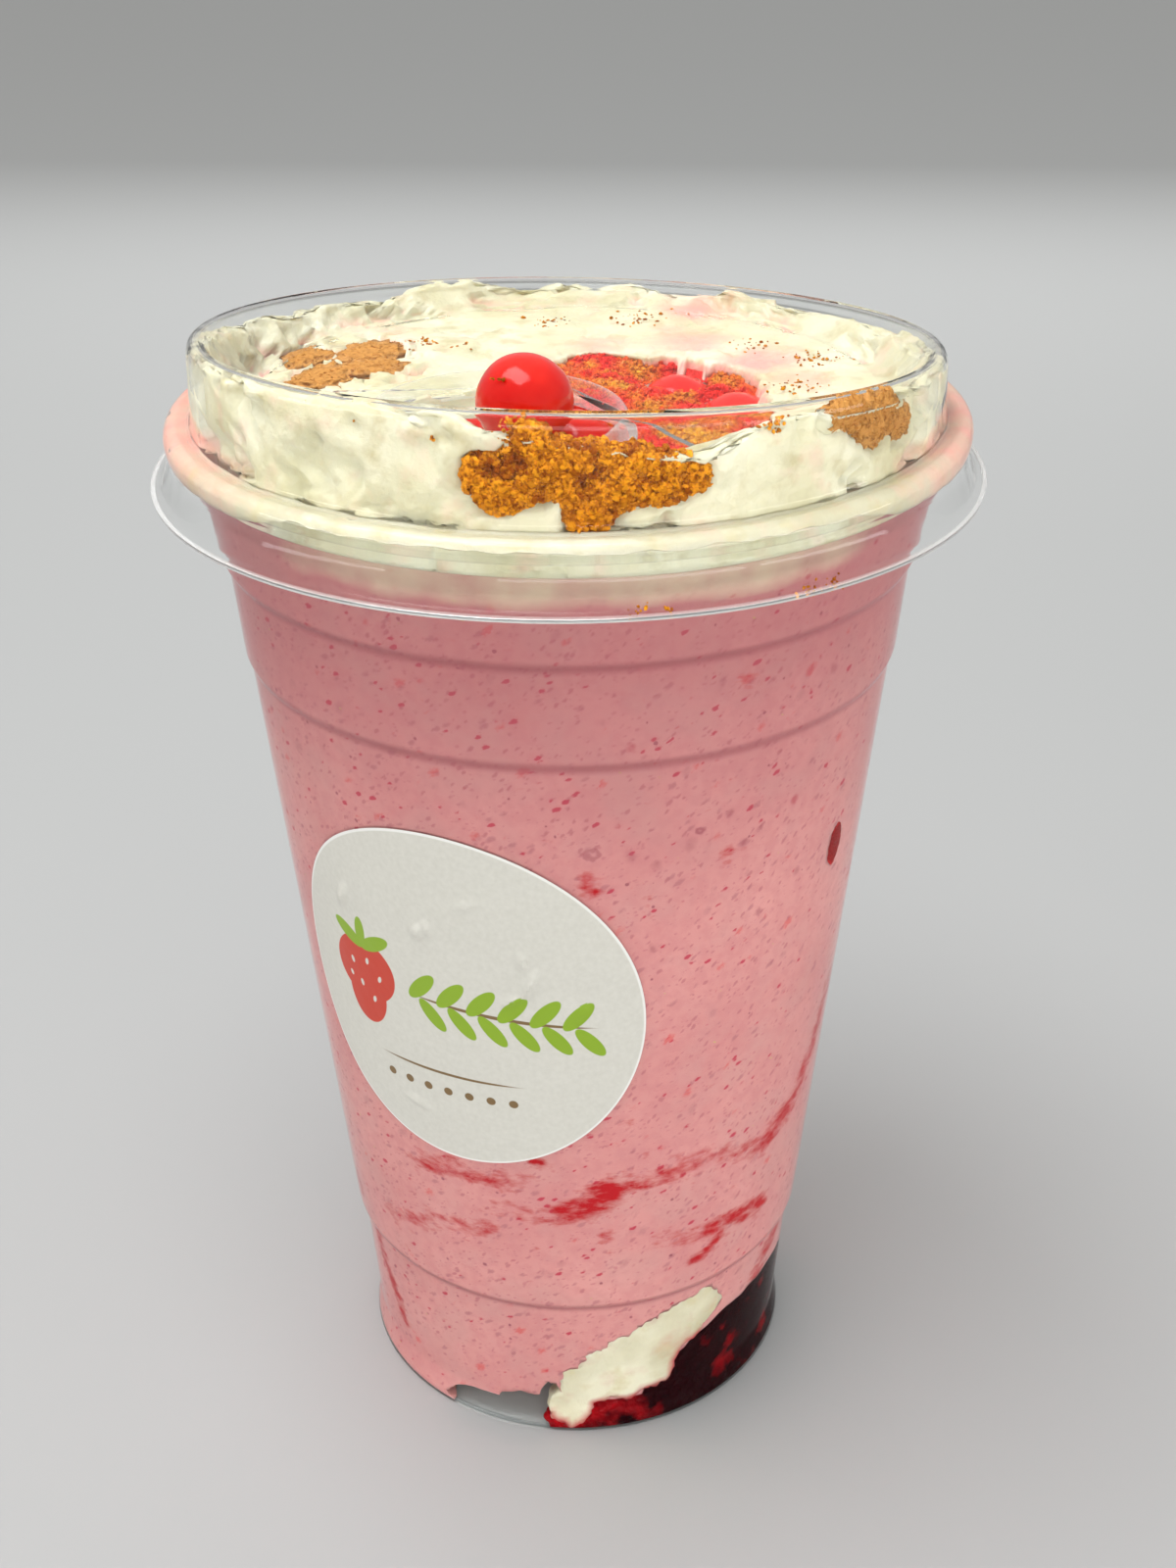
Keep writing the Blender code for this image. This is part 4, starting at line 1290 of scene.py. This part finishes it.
# ---- Label ----------------------------------------------------------------------------
# A round sticker of coated white paper, pressed on by hand, so it has faint bubbles and
# creases. Its print is a plain strawberry beside a sprig of leaves, a line and a row of dots.
LABEL_RADIUS = 25.5
LABEL_AZIMUTH = math.radians(-25)
LABEL_HEIGHT = 76.0
LABEL_PAPER = 0.12
RED_INK = (0.56, 0.045, 0.02)
GREEN_INK = (0.25, 0.40, 0.015)
BROWN_INK = (0.20, 0.12, 0.045)
PAPER = (0.65, 0.635, 0.57)
# Painted highlight: the colour of a bright band round the label's cut edge.
LABEL_EDGE_HIGHLIGHT = (0.84, 0.83, 0.79)
# Printed spots, in millimetres from the label's centre: ink, centre, half sizes, tilt in degrees.
PRINT = [
    (RED_INK, (-13.0, 1.0), (5.4, 5.0), 0), (RED_INK, (-13.0, -2.6), (3.5, 5.0), 0),
    (PAPER, (-15.2, 1.5), (0.32, 0.6), 15), (PAPER, (-12.3, 2.4), (0.32, 0.6), -10),
    (PAPER, (-10.3, 0.3), (0.32, 0.6), -20), (PAPER, (-13.8, -1.6), (0.32, 0.6), 10),
    (PAPER, (-11.7, -3.4), (0.32, 0.6), -15), (PAPER, (-15.8, -0.9), (0.3, 0.5), 20),
    (GREEN_INK, (-15.4, 5.8), (2.9, 1.1), -28), (GREEN_INK, (-10.6, 5.8), (2.9, 1.1), 28),
    (GREEN_INK, (-13.0, 6.9), (0.9, 2.3), 0),
    (BROWN_INK, (7.2, -0.6), (12.6, 0.3), -4),
    (BROWN_INK, (-1.0, -11.5), (11.0, 0.24), 0),
]
for step in range(6):
    along = -3.4 + step * 4.1
    PRINT.append((GREEN_INK, (along, 1.9 - 0.3 * step), (2.9, 1.1), 48))
    PRINT.append((GREEN_INK, (along + 1.3, -2.2 - 0.3 * step), (2.8, 1.05), -52))
for step in range(7):
    PRINT.append((BROWN_INK, (-10.0 + step * 3.0, -14.4), (0.65, 0.65), 0))
# Faint bubbles and creases: centre, half sizes, tilt in degrees, height.
BUBBLES = (
    ((-15.5, 11.5), (1.0, 2.4), -20, 0.62), ((-2.9, 10.6), (1.1, 1.6), -40, 0.60),
    ((-1.6, 11.4), (0.7, 1.5), 20, 0.5), ((11.3, 5.0), (0.8, 3.0), -24, 0.72),
    ((10.6, 8.6), (0.6, 1.8), 8, 0.5), ((9.2, 2.6), (0.7, 2.4), -62, 0.4),
    ((4.0, 16.0), (2.6, 0.8), 25, 0.25), ((17.5, 1.0), (2.0, 0.7), 60, 0.25),
    ((-6.0, -18.0), (3.0, 0.9), -10, 0.25),
)


def paper_finish():
    """Coated paper with a trace of fibre, its print, and a painted highlight along its bare cut edge."""
    made, tree = new_finish("label_paper", Roughness=0.42)
    place = place_in(tree)
    fibre = masked_noise(tree, place, 1500, 4, 0.3, 0.7)
    colour = blended(tree, fibre, (0.62, 0.605, 0.54), (0.67, 0.655, 0.59))
    flat = added(tree, "ShaderNodeUVMap")
    flat.uv_map = "print"
    flat = flat.outputs["UV"]
    for ink, centre, half, tilt in PRINT:
        fit = added(
            tree, "ShaderNodeMapping", Vector=flat, Location=(*centre, 0),
            Rotation=(0, 0, math.radians(tilt)), Scale=(*half, 1),
        )
        fit.vector_type = "TEXTURE"
        far = vectors_out(tree, "LENGTH", fit.outputs["Vector"])
        colour = blended(tree, ranged(tree, far, 1.0, 1.0 - 0.06 / min(half)), colour, ink)
    # Painted highlight along the cut edge.
    rim = ranged(tree, vectors_out(tree, "LENGTH", flat), LABEL_RADIUS - 0.35, LABEL_RADIUS - 0.2)
    shaded(tree, Base_Color=blended(tree, rim, colour, LABEL_EDGE_HIGHLIGHT))
    bumped(tree, masked_noise(tree, place, 130, 3, 0.3, 0.7), 0.0004, 0.35)
    return made


def bubble_height(across, upwards):
    """How far the paper stands off the plastic."""
    height = 0.05 * max(noise.noise(Vector((across * 0.2, upwards * 0.2, 2))), 0)
    for centre, half, tilt, lift in BUBBLES:
        turn = math.radians(tilt)
        x, y = across - centre[0], upwards - centre[1]
        u = (x * math.cos(turn) + y * math.sin(turn)) / half[0]
        v = (y * math.cos(turn) - x * math.sin(turn)) / half[1]
        height = max(height, 1.3 * lift * max(1 - math.hypot(u, v), 0))
    return height


bm = bmesh.new()
bmesh.ops.create_grid(bm, x_segments=110, y_segments=110, size=1.0)
print_map = bm.loops.layers.uv.new("print")
for vert in bm.verts:
    x, y = vert.co.x, vert.co.y
    vert.co.x = x * math.sqrt(1 - y * y / 2)
    vert.co.y = y * math.sqrt(1 - x * x / 2)
for face in bm.faces:
    for loop in face.loops:
        loop[print_map].uv = (loop.vert.co.x * LABEL_RADIUS, loop.vert.co.y * LABEL_RADIUS)
for vert in bm.verts:
    across, upwards = vert.co.x * LABEL_RADIUS, vert.co.y * LABEL_RADIUS
    height = LABEL_HEIGHT + upwards
    radius = wall_radius(height) + 0.02
    stands = radius + bubble_height(across, upwards)
    vert.co = around(LABEL_AZIMUTH + across / radius, stands, height) * MM
bmesh.ops.solidify(bm, geom=bm.faces[:], thickness=-LABEL_PAPER * MM)
label = finished(bm, "paper_label", paper_finish())
label.data.set_sharp_from_angle(angle=math.radians(40))
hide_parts("label")
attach(label, "root")
